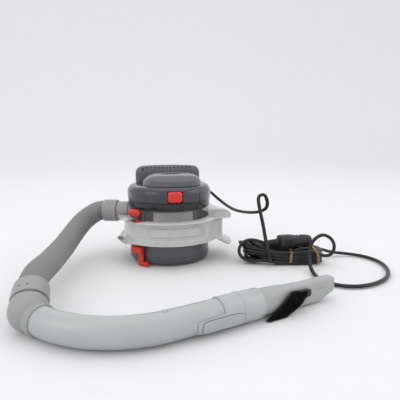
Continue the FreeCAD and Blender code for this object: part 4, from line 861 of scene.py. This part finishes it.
def make_tip():
    """Crevice tip: a round socket that flattens to a tall narrow mouth with a slanting cut underneath."""
    stations = [(120, 17, 17, 0, 0), (142, 14, 16.5, 0, 0), (190, 10, 15, 0, -2.1), (247, 8.5, 15, 0, -2.1)]
    inside = [(x, half_y - 2, half_z - 2, y, z) for x, half_y, half_z, y, z in stations]
    powers = (2.0, 2.6, 4.2, 8.0)
    outer = loft_bar(stations, 60, 112, powers)
    inner = loft_bar(inside, 60, 112, powers)
    wall = np.concatenate([outer, inner[::-1]])
    tip = make_piece("crevice_mouth", [(placed(wall, WAND_ORIGIN, WAND_AXES), True, True)], FINISHES["tip"],
                     "nozzle", "tip_grey", ["crevice_tip"], sharp=38)
    slope = math.radians(21)
    axes = np.array([[math.cos(slope), 0, -math.sin(slope)], [0, 1, 0],
                     [math.sin(slope), 0, math.cos(slope)]])
    corner = np.array([247.0, 0, -5.0])
    wedge = placed(brick((0, 0, -20), (60, 30, 20), 0.2), corner, axes)
    carve(tip, [(placed(wedge, WAND_ORIGIN, WAND_AXES), False, True)], sharp=38)
    slot = brick((221, -9.6, 3.2), (9, 1.1, 0.9), 0.4)
    carve(tip, [(placed(slot, WAND_ORIGIN, WAND_AXES), False, True)], sharp=38)
    return tip


UPRIGHT = np.array([[1.0, 0, 0], [0, 0, -1.0], [0, 1.0, 0]])


def make_brush_arms():
    """The flip brush's two arms: rounded plates with a rib, one on each side of the tip."""
    surfaces = []
    for side in (-1, 1):
        rows = [(0.5, -1.5), (0, -1.1), (0, 1.1), (0.5, 1.5), (2.4, 1.5), (2.9, 1.1), (4, 1.1)]
        plate = pebble(rounded_outline(12.5, 5.2, 5, 80), rows)
        if side > 0:
            plate = plate * [1, 1, -1]
        surfaces.append((placed(placed(plate, (185, side * 14, 3.4), UPRIGHT), WAND_ORIGIN, WAND_AXES),
                         False, True))
    return make_piece("brush_arms", surfaces, FINISHES["black"], "brush", "black_plastic", ["brush_holder"],
                      sharp=40)


def make_bristles():
    """Bristles beside the tip: thin three-sided strands that leave a row and sweep back and down."""
    draw = np.random.default_rng(5)
    count = sizes().bristle_count
    surfaces = []
    for side in (-1, 1):
        share = draw.uniform(0, 1, count)
        start = np.stack([161 + 27 * share, side * draw.uniform(15.9, 19.6, count),
                          8.6 - 3.2 * side - 4.5 * share + draw.uniform(-1.6, 1.6, count)], axis=-1)
        end = np.stack([122 + 27 * share + draw.uniform(-2.4, 2.4, count),
                        side * draw.uniform(15.6, 20.6, count), -18.2 + draw.uniform(-0.7, 1.2, count)],
                       axis=-1)
        bend = np.stack([start[:, 0] - 3 - 13 * (1 - share), 0.5 * (start[:, 1] + end[:, 1]),
                         -5 - 4 * share + draw.uniform(-1.5, 1.5, count)], axis=-1)
        place = np.linspace(0, 1, 6)[None, :, None]
        lines = ((1 - place) ** 2 * start[:, None] + 2 * place * (1 - place) * bend[:, None]
                 + place ** 2 * end[:, None])
        ways = np.gradient(lines, axis=1)
        ways /= np.linalg.norm(ways, axis=2, keepdims=True)
        normal = np.stack([-ways[..., 2], 0 * ways[..., 0], ways[..., 0]], axis=-1)
        thick = np.linspace(0.34, 0.16, 6)[None, :, None, None]
        corners = np.arange(3) * FULL_TURN / 3
        rim = normal[:, :, None] * np.cos(corners)[:, None] + np.array([0, 1.0, 0]) * np.sin(corners)[:, None]
        strands = lines[:, :, None] + thick * rim
        surfaces += [(placed(capped(strand), WAND_ORIGIN, WAND_AXES), False, True) for strand in strands]
        holder = brick((175, side * 17.3, 5.4 - 3 * side), (13.6, 1.8, 2.8), 0.8)
        surfaces.append((placed(holder, WAND_ORIGIN, WAND_AXES), False, True))
    return make_piece("brush_hair", surfaces, FINISHES["bristle"], "brush", "bristle_black",
                      ["brush_bristles"], sharp=60)


class VACUUM_OT_wand(bpy.types.Operator):
    """Build the elbow, the wand, the sleeve with its latch tab, the crevice tip and the flip brush"""
    bl_idname = "vacuum.wand"
    bl_label = "Wand, nozzle and brush"

    def execute(self, context):
        make_elbow()
        make_wand()
        make_sleeve()
        make_tab()
        make_tip()
        make_brush_arms()
        make_bristles()
        return {"FINISHED"}


# ------------------------------------------------------------------ motor unit
def shell(outline, rows, wall):
    """A domed cover open below: an outer and an inner skin, each row (inset, height), joined at the foot."""
    rows = np.asarray(rows, float)
    inner_rows = rows + [wall, -wall]
    inner_rows[0, 1] = rows[0, 1]
    outer = pebble(outline, rows)[1:]
    inner = pebble(outline, inner_rows)[1:]
    foot = np.stack([outer[0], inner[0]])
    return [(outer, False, True), (inner, False, True), (foot, False, True)]


def make_housing():
    """Polished housing: a turned shell whose front is a slightly raised panel, with the button's window."""
    arc = np.linspace(0, math.pi / 2, 12)
    shoulder = np.stack([60.5 + 14 * np.cos(arc), 122 + 14 * np.sin(arc)], axis=-1)
    inner = np.stack([60 + 12 * np.cos(arc[::-1]), 121.5 + 12 * np.sin(arc[::-1])], axis=-1)
    profile = np.concatenate([[(72.4, 110.2), (73.9, 110.2), (74.5, 110.9)], shoulder,
                              [(18.6, 136), (18.6, 133.5)], inner])
    grid = lathe(profile, 384)
    angle = np.arange(384) * FULL_TURN / 384
    raised = 1 + 0.0085 * window(turn_from(angle, -90), 31.5, 1.6)[:, None, None] * np.array([1, 1, 0])
    housing = make_piece("motor_cover", [(grid * raised, True, True)], FINISHES["housing"], "motor_unit",
                         "charcoal_gloss", ["motor_housing"], sharp=32)
    carve(housing, [(brick((0, -70, 120.4), (13.3, 10, 10), 1.4), False, True)], sharp=32)
    outward = heading(GLAND_HEADING)
    carve(housing, [(rod(outward * 55 + [0, 0, GLAND_HEIGHT], outward, 6.1, 30, 48), False, True)], sharp=32)
    return housing


def make_dark_collar():
    """Dark collar under the seam, with the spigot that enters the bowl and a notch over the port."""
    profile = eased([(67.3, 94), (69.3, 94), (69.3, 98.4), (72.6, 98.4), (73, 98.9), (73, 109.2),
                     (72.6, 109.8), (70.4, 109.8), (70.4, 100.8), (67.3, 100.8)], 0.35, steps=4)
    collar = make_piece("dark_collar", [(lathe(profile, 200), True, True)], FINISHES["collar"], "motor_unit",
                        "charcoal_gloss", ["housing_collar"], sharp=38)
    outward = heading(INLET_HEADING)
    carve(collar, [(rod(INLET_ORIGIN + outward * 60, outward, 18.9, 24, 72), False, True)], sharp=38)
    return collar


def make_cap():
    """Lozenge-shaped cap with a raised line round its front and a long hollow for the switch."""
    outline = rounded_outline(51, 39, 2.3, 200, (2.6, -21))
    rows = [(0, 136.1), (0, 138.4), (0.5, 141.4), (1.1, 143.2), (0.9, 143.8), (1.3, 144.6), (2.2, 145.2),
            (4.2, 147.4),
            (7.0, 150), (9.4, 151.6), (11.4, 152.6), (14, 153.5), (18, 154.4), (24, 155), (32, 155.3)]
    cap = make_piece("top_lozenge", shell(outline, rows, 2.2), FINISHES["cap"], "motor_unit",
                     "charcoal_gloss", ["top_cap"], sharp=40)
    hollow = pebble(rounded_outline(17, 7.4, 3, 80, (-1, -29)),
                    [(3, 148), (1.2, 150.3), (0, 152), (-1.4, 156)])
    floor = pebble(rounded_outline(19, 9, 3, 80, (-3, -29)), [(2, 147.2), (0, 147.6), (0, 150.6), (2, 151.2)])
    make_piece("switch_well", [(floor, False, True)], FINISHES["collar"], "motor_unit", "charcoal_gloss",
               sharp=40)
    carve(cap, [(hollow, False, True)], sharp=40)
    return cap


def make_hump():
    """Exhaust hump: a rounded rectangle kept inside the housing's circle, with rows of round vents on top."""
    centre, limit = np.array([3.0, 45.2]), 71.5
    points = rounded_outline(60, 25.6, 5, 220, centre)
    way = points - centre
    length = np.linalg.norm(way, axis=1)
    way /= length[:, None]
    along_way = way @ centre
    to_circle = -along_way + np.sqrt(along_way ** 2 + limit ** 2 - centre @ centre)
    outline = centre + way * np.minimum(length, to_circle)[:, None]
    rows = [(0, 136.2), (0, 149), (0.4, 153), (1.6, 156.6), (3.8, 159.8), (6.8, 162), (10, 163), (17, 163.4)]
    hump = make_piece("exhaust_cover", shell(outline, rows, 2.4), FINISHES["hump"], "motor_unit",
                      "charcoal_matte", ["exhaust_hump"], sharp=40)
    holes = []
    for number, depth in enumerate((24.6, 31.2, 37.8, 44.4, 51.0)):
        reach = 44 if number < 3 else 36
        for x in np.arange(-reach, reach + 1, 7.2) + 3.6 * (number % 2):
            holes.append((rod((x, depth, 150), np.array([0, 0, 1.0]), 2.05, 20, 20), False, True))
    carve(hump, holes, sharp=40)
    return hump


def make_button():
    """Red release button: a soft-edged plate that follows the housing's curve, with a lighter upper edge."""
    rows = [(0.4, 66), (0, 66.4), (0, 72.9), (0.4, 74.4), (1.4, 75.5), (3.0, 76.1), (5.5, 76.3)]
    plate = pebble(rounded_outline(12.8, 9.5, 5, 120, (0, 120.5)), rows)
    plate[..., 2] -= plate[..., 0] ** 2 / (2 * HOUSING_RADIUS)
    plate[..., 2] -= np.clip(plate[..., 1] - 123, 0, 8) ** 2 * 0.05
    axes = np.array([[1.0, 0, 0], [0, 0, -1.0], [0, 1.0, 0]])
    return make_piece("red_button", [(placed(plate, [0, 0, 0], axes), False, True)], FINISHES["red"],
                      "release_button", "red_plastic", ["release_button"], sharp=40)


def make_switch():
    """Slide switch: a small thumb piece with three ridges in the cap's hollow."""
    pieces = [brick((-3, -29, 150.6), (7.5, 5, 1.9), 0.9)]
    pieces += [brick((-3 + 3.4 * number, -29, 152.6), (0.6, 4.2, 0.5), 0.25) for number in (-1, 0, 1)]
    return make_piece("slide_thumb", [(piece, False, True) for piece in pieces], FINISHES["collar"],
                      "power_switch", "charcoal_matte", ["power_switch"], sharp=40)


def make_filter():
    """Pleated filter, its open frame and the flat shield in front of it."""
    rim = lathe(eased([(28, 92.2), (50, 92.2), (50, 95.2), (28, 95.2)], 0.5, steps=3), 128)
    foot = lathe(eased([(0.01, 49.6), (49, 49.6), (50, 50.4), (50, 52), (0.01, 52)], 0.4, steps=3,
                       closed=False), 128)
    surfaces = [(rim, True, True), (foot, True, False)]
    for number in range(6):
        post = placed(brick((48.4, 0, 72), (1.2, 2, 20.6), 0.5), [0, 0, 0], turned_axes(60 * number))
        surfaces.append((post, False, True))
    # The shield and frame take a near-white finish: painted light on a part the motor unit shades.
    shield = placed(pebble(rounded_outline(34, 17.5, 9, 96, (0, 77.6)),
                           [(0.5, 48.1), (0, 48.5), (0, 49.6), (0.5, 50)]),
                    [0, 0, 0], UPRIGHT)
    surfaces.append((shield, False, True))
    make_piece("filter_cage", surfaces, FINISHES["filter_frame"], "filter", "fan_plastic", ["filter_frame"],
               sharp=40)
    angle = np.arange(28 * 12) * FULL_TURN / (28 * 12)
    wave = np.abs(((angle * 28 / FULL_TURN) % 1) * 2 - 1) ** 1.2
    outer = 37 + 8.8 * wave
    corners = [(outer, 52.2), (outer, 92), (34 + 0 * outer, 92), (34 + 0 * outer, 52.2)]
    grid = np.stack([np.stack([radius * np.cos(angle), radius * np.sin(angle), height + 0 * angle], axis=-1)
                     for radius, height in corners])
    return make_piece("filter_fleece", [(grid, True, True)], FINISHES["fleece"], "filter", "filter_cloth",
                      ["filter_pleats"], sharp=50)


FRAME_FINISHES = {
    "motor_can": "steel", "motor_end_bell": "black", "motor_magnets": "ferrite", "motor_shaft": "steel",
    "armature": "copper", "mounting_plate": "hump", "housing_screws": "steel", "fan_shroud": "hump",
    "fan_impeller": "nylon", "switch_module": "black", "button_bracket": "hump", "button_spring": "steel",
    "filter_seal": "rubber", "bowl_seal": "rubber", "door_seal": "rubber", "door_hinge_pin": "steel",
    "latch_pin": "steel", "brush_pin": "steel", "plug_fuse": "nylon", "plug_spring": "steel"}


class VACUUM_OT_motor_unit(bpy.types.Operator):
    """Build the housing, the dark collar, the cap, the hump, the button, the switch and the filter"""
    bl_idname = "vacuum.motor_unit"
    bl_label = "Motor unit and filter"

    def execute(self, context):
        make_housing()
        make_dark_collar()
        make_cap()
        make_hump()
        make_button()
        make_switch()
        make_filter()
        for name, finish in FRAME_FINISHES.items():
            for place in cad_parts[name].material_slots:
                place.material = FINISHES[finish]
        return {"FINISHED"}




# ------------------------------------------------------------------ lead and plug
LEAD_OUT = [
    (97, 90, 104), (113, 81, 89), (125, 58, 78.5), (133.5, 22, 75), (144, -18, 78.5), (155, -52, 85.5),
    (161.5, -69, 95), (161, -75.5, 106), (157, -78, 117), (152.7, -78.4, 121.4), (146.5, -79, 121.4),
    (141.9, -79.6, 116.6), (142.6, -82, 105.5), (145, -85.5, 90), (148.5, -90, 70), (150.5, -97, 48),
    (153, -104.5, 28), (156.5, -107, 13.5)]
LEAD_TAIL = [
    (320, -71, 4.4), (343, -91, 4), (352, -126, 4), (340, -166, 4), (315, -202, 4.2), (277, -225, 4.2),
    (240, -229, 4.2), (213, -211, 4), (206, -179, 4), (212, -148, 5), (215, -130, 17), (218, -124, 35),
    (227, -122, 50), (243, -121, 58), (259, -122, 50), (268, -119, 35)]
POINTS_PER_TURN = 20


def hank_turns(turns):
    """Turns of the hank in its own frame: rounded rectangles whose ends and heights drift from turn to turn.

    With a the angle, x = middle + half length * squircle cosine and y = middle + half depth * squircle sine.
    The turns run anticlockwise from the front, in two columns and up the layers; the left end fans out.
    """
    angle = -math.pi / 2 + 0.25 + np.arange(turns * POINTS_PER_TURN + 1) * FULL_TURN / POINTS_PER_TURN
    turn = np.arange(len(angle)) / POINTS_PER_TURN
    draw = np.random.default_rng(11)
    knots = np.arange(turns + 2)

    def drift(values):
        return np.interp(turn, knots, values)

    column = drift(np.arange(turns + 2) % 2 + draw.uniform(-0.12, 0.12, turns + 2))
    layer = drift(np.arange(turns + 2) // 2 * 4.1 + draw.uniform(-0.3, 0.3, turns + 2))
    left = drift(8 + draw.permutation(turns + 2) * 2.6)
    right = drift(154 - 5.5 * (np.arange(turns + 2) % 2) - draw.uniform(0, 3, turns + 2))
    middle_x, half_x = (left + right) / 2, (right - left) / 2
    half_y = 26.5 - 6.8 * column
    across, deep = squircle(angle, half_x, half_y, 2.9)
    open_end = np.clip(-np.cos(angle), 0, 1) ** 2
    lift = drift(draw.permutation(np.linspace(0, 1, turns + 2)) ** 3) * 22
    height = 3.2 + np.clip(layer, 0, 18.4) + open_end * lift
    x = middle_x + across + open_end * draw.uniform(-1, 1) * 2
    return np.stack([x, 32 + deep, height], axis=-1)


def lead_route(turns):
    """The whole lead: from the gland round its standing loop, through the hank and over to the plug."""
    gland = heading(GLAND_HEADING)
    start = gland * GLAND_END + [0, 0, GLAND_HEIGHT]
    into_hank = placed([(60, 1.5, 8), (74, 4, 5)], HANK_ORIGIN, HANK_AXES)
    turned = placed(hank_turns(turns), HANK_ORIGIN, HANK_AXES)
    across_hank = placed([(92, 14, 20.5), (114, 30, 21), (136, 45, 19), (158, 52, 16), (178, 54, 9)],
                         HANK_ORIGIN, HANK_AXES)
    back_in = placed([(167, 9, 20), (158, 11, 14), (134, 12, 20), (104, 10, 20), (72, 8, 15), (44, 8, 8),
                      (22, 9, 6.5), (8, 10, 14), (5, 12, 26), (11, 14, 38), (24, 14.5, 43.5), (36, 14, 42)],
                     HANK_ORIGIN, HANK_AXES)
    relief = PLUG_START - heading(3) * 26
    return np.concatenate([[start, start + gland * 15.5], LEAD_OUT, into_hank, turned, across_hank, LEAD_TAIL,
                           back_in, [relief, relief + heading(3) * 8]])


def twin_section(width, thickness, samples=9):
    """Outline of a flat twin lead: two round cores side by side with a groove between them."""
    core = thickness / 2
    offset = width / 2 - core
    half_arc = np.linspace(-math.pi * 0.68, math.pi * 0.68, samples)
    right = np.stack([offset + core * np.cos(half_arc), core * np.sin(half_arc)], axis=-1)
    return np.concatenate([right, -right])


def flat_ribbon(path, section):
    """A section carried along a path, its wide side kept level except where the path stands up."""
    across, up = carried_axes(path)
    tangent = np.gradient(path, axis=0)
    tangent /= np.linalg.norm(tangent, axis=1, keepdims=True)
    level = np.cross(tangent, [0.0, 0.0, 1.0])
    flatness = np.linalg.norm(level, axis=1)
    angle = np.arctan2((level * up).sum(1), (level * across).sum(1))
    strength = np.clip((flatness - 0.3) / 0.4, 0, 1)
    known = strength > 0.5
    turned = np.unwrap(angle[known] * 2) / 2
    smooth = np.interp(np.arange(len(path)), np.flatnonzero(known), turned)
    soft = np.convolve(np.pad(smooth, 12, mode="edge"), np.hanning(25) / np.hanning(25).sum(), mode="valid")
    side = across * np.cos(soft)[:, None] + up * np.sin(soft)[:, None]
    top = np.cross(tangent, side)
    return path[:, None] + side[:, None] * section[None, :, :1] + top[:, None] * section[None, :, 1:]


def make_lead():
    """The flat twin lead as one ribbon along its whole route."""
    values = sizes()
    line = route_line("lead_route", lead_route(values.lead_turns))
    path, marks = evenly(line, 3.0)
    section = twin_section(values.lead_width / MM, values.lead_thickness / MM)
    ribbon = capped(flat_ribbon(path, section))
    lead = make_piece("twin_lead", [(ribbon, False, True)], FINISHES["lead"], "root", "black_pvc",
                      ["power_cord", "cord_hank", "cord_tail"], sharp=50)
    return lead, path, marks[-1]


def make_gland():
    """Tapered strain relief with grooves, where the lead leaves the housing."""
    profile = [(0.1, 62), (6.0, 62), (6.0, 66), (5.2, 67)]
    for ring_number in range(6):
        start = 76 + 4 * ring_number
        wide = 4.9 - 0.17 * ring_number
        profile += [(wide, start), (wide, start + 2.4), (wide - 0.8, start + 2.8), (wide - 0.8, start + 3.6)]
    profile += [(3.7, 100.4), (0.1, 100.4)]
    gland = lathe(eased(profile, 0.4, steps=3), 56)
    surface = placed(gland, [0, 0, GLAND_HEIGHT], axes_along(heading(GLAND_HEADING)))
    make_piece("strain_relief", [(surface, True, True)], FINISHES["black"], "motor_unit", "black_pvc",
               ["cord_gland"], sharp=40)


def make_ties():
    """Two wire ties: flat bands pulled round the hank's bundle, each with its twisted ends."""
    surfaces = []
    angle = np.arange(64) * FULL_TURN / 64
    for place, lean in ((94, 2.0), (141, -1.5)):
        y, z = squircle(angle, 31.6, 11.6, 3.4)
        band = np.stack([place + lean * np.sin(angle), 32 + y, 12.6 + z], axis=-1)
        outward = np.stack([0 * y, y / 31.6 ** 1.2, z / 11.6 ** 1.2], axis=-1)
        outward /= np.linalg.norm(outward, axis=1, keepdims=True)
        section = eased([(-2.2, -0.45), (2.2, -0.45), (2.2, 0.45), (-2.2, 0.45)], 0.3, steps=3)
        grid = (band[:, None] + outward[:, None] * section[None, :, 1:]
                + np.array([1.0, 0, 0]) * section[None, :, :1])
        surfaces.append((grid, True, True))
        twist = np.linspace(0, 1, 24)
        end = np.stack([place + 2.2 * np.sin(twist * 9), 2.5 - 6 * twist + 1.2 * np.cos(twist * 9),
                        22 + 3.2 * np.sin(twist * 2.6)], axis=-1)
        surfaces.append((capped(tube(end, 0.9, 12)), False, True))
    surfaces = [(placed(grid, HANK_ORIGIN, HANK_AXES), rows, columns) for grid, rows, columns in surfaces]
    return make_piece("hank_ties", surfaces, FINISHES["tie"], "root", "tie_tan", ["cord_ties"])


def make_plug_pieces():
    """The 12 V plug: ribbed relief, flat-sided grip, barrel with windows, nose ring and sprung tip."""
    def along_plug(surfaces):
        return [(placed(grid, PLUG_START, PLUG_AXES), rows, columns) for grid, rows, columns in surfaces]

    relief = [(3.6, -26), (4.0, -26)]
    for ring_number in range(5):
        start = -24 + 4.6 * ring_number
        wide = 4.3 + 0.42 * ring_number
        relief += [(wide, start), (wide + 0.15, start + 2.9), (wide - 0.8, start + 3.3),
                   (wide - 0.8, start + 4.2)]
    relief += [(6.5, -0.4), (0.1, -0.2), (0.1, -26)]
    boot = make_piece("plug_boot", along_plug([(lathe(eased(relief, 0.35, steps=3), 48), True, True)]),
                      FINISHES["black"], "root", "black_pvc", ["plug_relief"], sharp=40)
    rows = [(7.0, 0.0), (2.4, 0.3), (0.7, 1.4), (0, 3.6), (0, 21), (0.5, 24), (1.2, 28), (1.7, 31),
            (2.6, 32.4), (6.0, 32.6)]
    grip = pebble(rounded_outline(12, 12, 2.7, 96), rows)
    grooves = [brick((side * 12.1, 0, 9 + 3.2 * number), (0.8, 6.0, 0.6), 0.3)
               for side in (-1, 1) for number in range(5)]
    barrel = eased([(4.5, 31), (10.3, 31), (10.3, 49.6), (9.7, 52), (7.9, 52), (7.9, 33), (4.5, 33)], 0.5,
                   steps=3)
    body = make_piece("plug_grip", along_plug([(grip, False, True), (lathe(barrel, 96), True, True)]),
                      FINISHES["black"], "root", "black_plastic", ["plug_body"], sharp=40)
    carve(body, along_plug([(block, False, True) for block in grooves]), sharp=40)
    window = brick((0, 0, 41.5), (3.4, 20, 5.6), 1.4)
    carve(body, along_plug([(window, False, True)]), sharp=40)
    nose = eased([(4.3, 52.1), (10.0, 52.1), (9.8, 54), (8.1, 60.6), (7.4, 61), (4.3, 61)], 0.5, steps=3)
    ring = make_piece("plug_nose_ring", along_plug([(lathe(nose, 80), True, True)]), FINISHES["black"],
                      "root", "black_plastic", ["plug_nose"], sharp=40)
    pin = eased([(0.1, 50), (3.9, 50), (3.9, 62.4), (3.4, 64.4), (1.4, 66.4), (0.1, 66.5)], 0.4, steps=4)
    tip = make_piece("plug_centre_pin", along_plug([(lathe(pin, 48), True, True)]), FINISHES["steel"],
                     "plug_tip", "steel", ["plug_tip"], sharp=30)
    clips = []
    for side, name in ((1, "near"), (-1, "far")):
        height = np.linspace(-1, 1, 24)
        bow = 9.0 + 1.9 * (1 - height ** 2)
        path = np.stack([0 * height, side * bow, 41.5 + 5 * height], axis=-1)
        section = eased([(-2.2, -0.3), (2.2, -0.3), (2.2, 0.3), (-2.2, 0.3)], 0.2, steps=3)
        clip = path[:, None] + np.stack([section[:, 0], side * section[:, 1], 0 * section[:, 0]],
                                        axis=-1)[None]
        clips.append(make_piece(f"plug_clip_{name}", along_plug([(capped(clip), False, True)]),
                                FINISHES["steel"],
                                f"plug_contact_{name}", "steel", [f"plug_contact_{name}"]))
    return [boot, body, ring, tip] + clips


class VACUUM_OT_lead(bpy.types.Operator):
    """Build the twin lead with its hank, ties, strain relief and plug"""
    bl_idname = "vacuum.lead"
    bl_label = "Lead, hank and plug"

    def execute(self, context):
        lead, path, length = make_lead()
        make_gland()
        ties = make_ties()
        pieces = make_plug_pieces()
        return {"FINISHED"}


# ------------------------------------------------------------------ studio
class VACUUM_OT_studio(bpy.types.Operator):
    """Build the pale floor and backdrop, the soft lights, the surroundings and the camera"""
    bl_idname = "vacuum.studio"
    bl_label = "Studio"

    def execute(self, context):
        colours = context.scene.vacuum_colours
        self.make_sweep(colours)
        self.make_lights()
        self.make_camera(context)
        context.scene.view_settings.view_transform = "Standard"
        return {"FINISHED"}

    @staticmethod
    def make_sweep(colours):
        """One sheet: a floor that bends up into a wall far behind; its profile is carried along X."""
        profile = eased([(-2.6, 0.0), (2.6, 0.0), (2.6, 3.2)], 1.1, steps=24, closed=False)
        side = np.array([-4.0, 4.0])
        grid = np.stack([side[None, :] + 0 * profile[:, :1], profile[:, :1] + 0 * side,
                         profile[:, 1:] + 0 * side],
                        axis=-1)
        mesh = bpy.data.meshes.new("studio_sweep")
        mesh.from_pydata(grid.reshape(-1, 3), [], grid_faces(*grid.shape[:2], False, False).tolist())
        mesh.shade_smooth()
        mesh.materials.append(moulded("matte_paper_backdrop", colours.floor_white, 0.75, grain=2, bump=0.02,
                                      mottle=0.01))
        sweep = bpy.data.objects.new("studio_sweep", mesh)
        bpy.context.scene.collection.objects.link(sweep)

    @staticmethod
    def make_lights():
        """Large soft boxes above, at both sides and behind, and an even pale surrounding."""
        world = bpy.data.worlds.new("pale_surroundings")
        bpy.context.scene.world = world
        world.use_nodes = True
        background = world.node_tree.nodes["Background"]
        background.inputs["Color"].default_value = shade("#F4F5F7")
        background.inputs["Strength"].default_value = 1.12
        for name, place, target, size, power in (
                ("top_box", (0.0, 0.1, 1.5), (0, 0, 0.05), (1.5, 1.2), 2.5),
                ("left_box", (-1.3, -0.7, 1.0), (-0.05, -0.1, 0.05), (0.9, 0.9), 2.6),
                ("right_box", (1.4, -0.4, 1.1), (0.05, -0.1, 0.05), (0.9, 0.9), 2.0),
                ("back_box", (0.0, 1.5, 1.1), (0, 0, 0.08), (1.8, 0.8), 2.5)):
            light = bpy.data.lights.new(name, "AREA")
            light.shape = "RECTANGLE"
            light.size, light.size_y = size
            light.energy = power
            lamp = bpy.data.objects.new(name, light)
            bpy.context.scene.collection.objects.link(lamp)
            lamp.location = place
            lamp.rotation_euler = (Vector(target) - Vector(place)).to_track_quat("-Z", "Y").to_euler()

    @staticmethod
    def make_camera(context):
        """A camera a little above the vacuum, looking slightly down at it."""
        camera_data = bpy.data.cameras.new("camera")
        camera_data.sensor_width = 36.0
        camera_data.lens = 39.672
        camera = bpy.data.objects.new("camera", camera_data)
        context.scene.collection.objects.link(camera)
        camera.location = (-0.10807, -0.78522, 0.2384)
        camera.rotation_euler = (math.radians(90 - 9.634), 0.0, math.radians(-11.898))
        context.scene.camera = camera


# ------------------------------------------------------------------ panel, registering and running
STEPS = (
    VACUUM_OT_studio, VACUUM_OT_bowl, VACUUM_OT_hose, VACUUM_OT_wand, VACUUM_OT_motor_unit, VACUUM_OT_lead,
)


class VACUUM_PT_pieces(bpy.types.Panel):
    """Lists the building steps and the values that they use"""
    bl_idname = "VACUUM_PT_pieces"
    bl_label = "Handheld vacuum"
    bl_space_type = "VIEW_3D"
    bl_region_type = "UI"
    bl_category = "Vacuum"

    def draw(self, context):
        for step in STEPS:
            self.layout.operator(step.bl_idname)
        for group in (context.scene.vacuum_sizes, context.scene.vacuum_colours):
            for name in group.__annotations__:
                self.layout.prop(group, name)


CLASSES = (VacuumColours, VacuumSizes, *STEPS, VACUUM_PT_pieces)


def register():
    for made in CLASSES:
        bpy.utils.register_class(made)
    bpy.types.Scene.vacuum_colours = PointerProperty(type=VacuumColours)
    bpy.types.Scene.vacuum_sizes = PointerProperty(type=VacuumSizes)


def unregister():
    del bpy.types.Scene.vacuum_sizes
    del bpy.types.Scene.vacuum_colours
    for made in reversed(CLASSES):
        bpy.utils.unregister_class(made)


def main():
    """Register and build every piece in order."""
    register()
    FINISHES.update(make_finishes(bpy.context.scene.vacuum_colours))
    for step in STEPS:
        family, name = step.bl_idname.split(".")
        getattr(getattr(bpy.ops, family), name)()


if __name__ == "__main__":
    main()
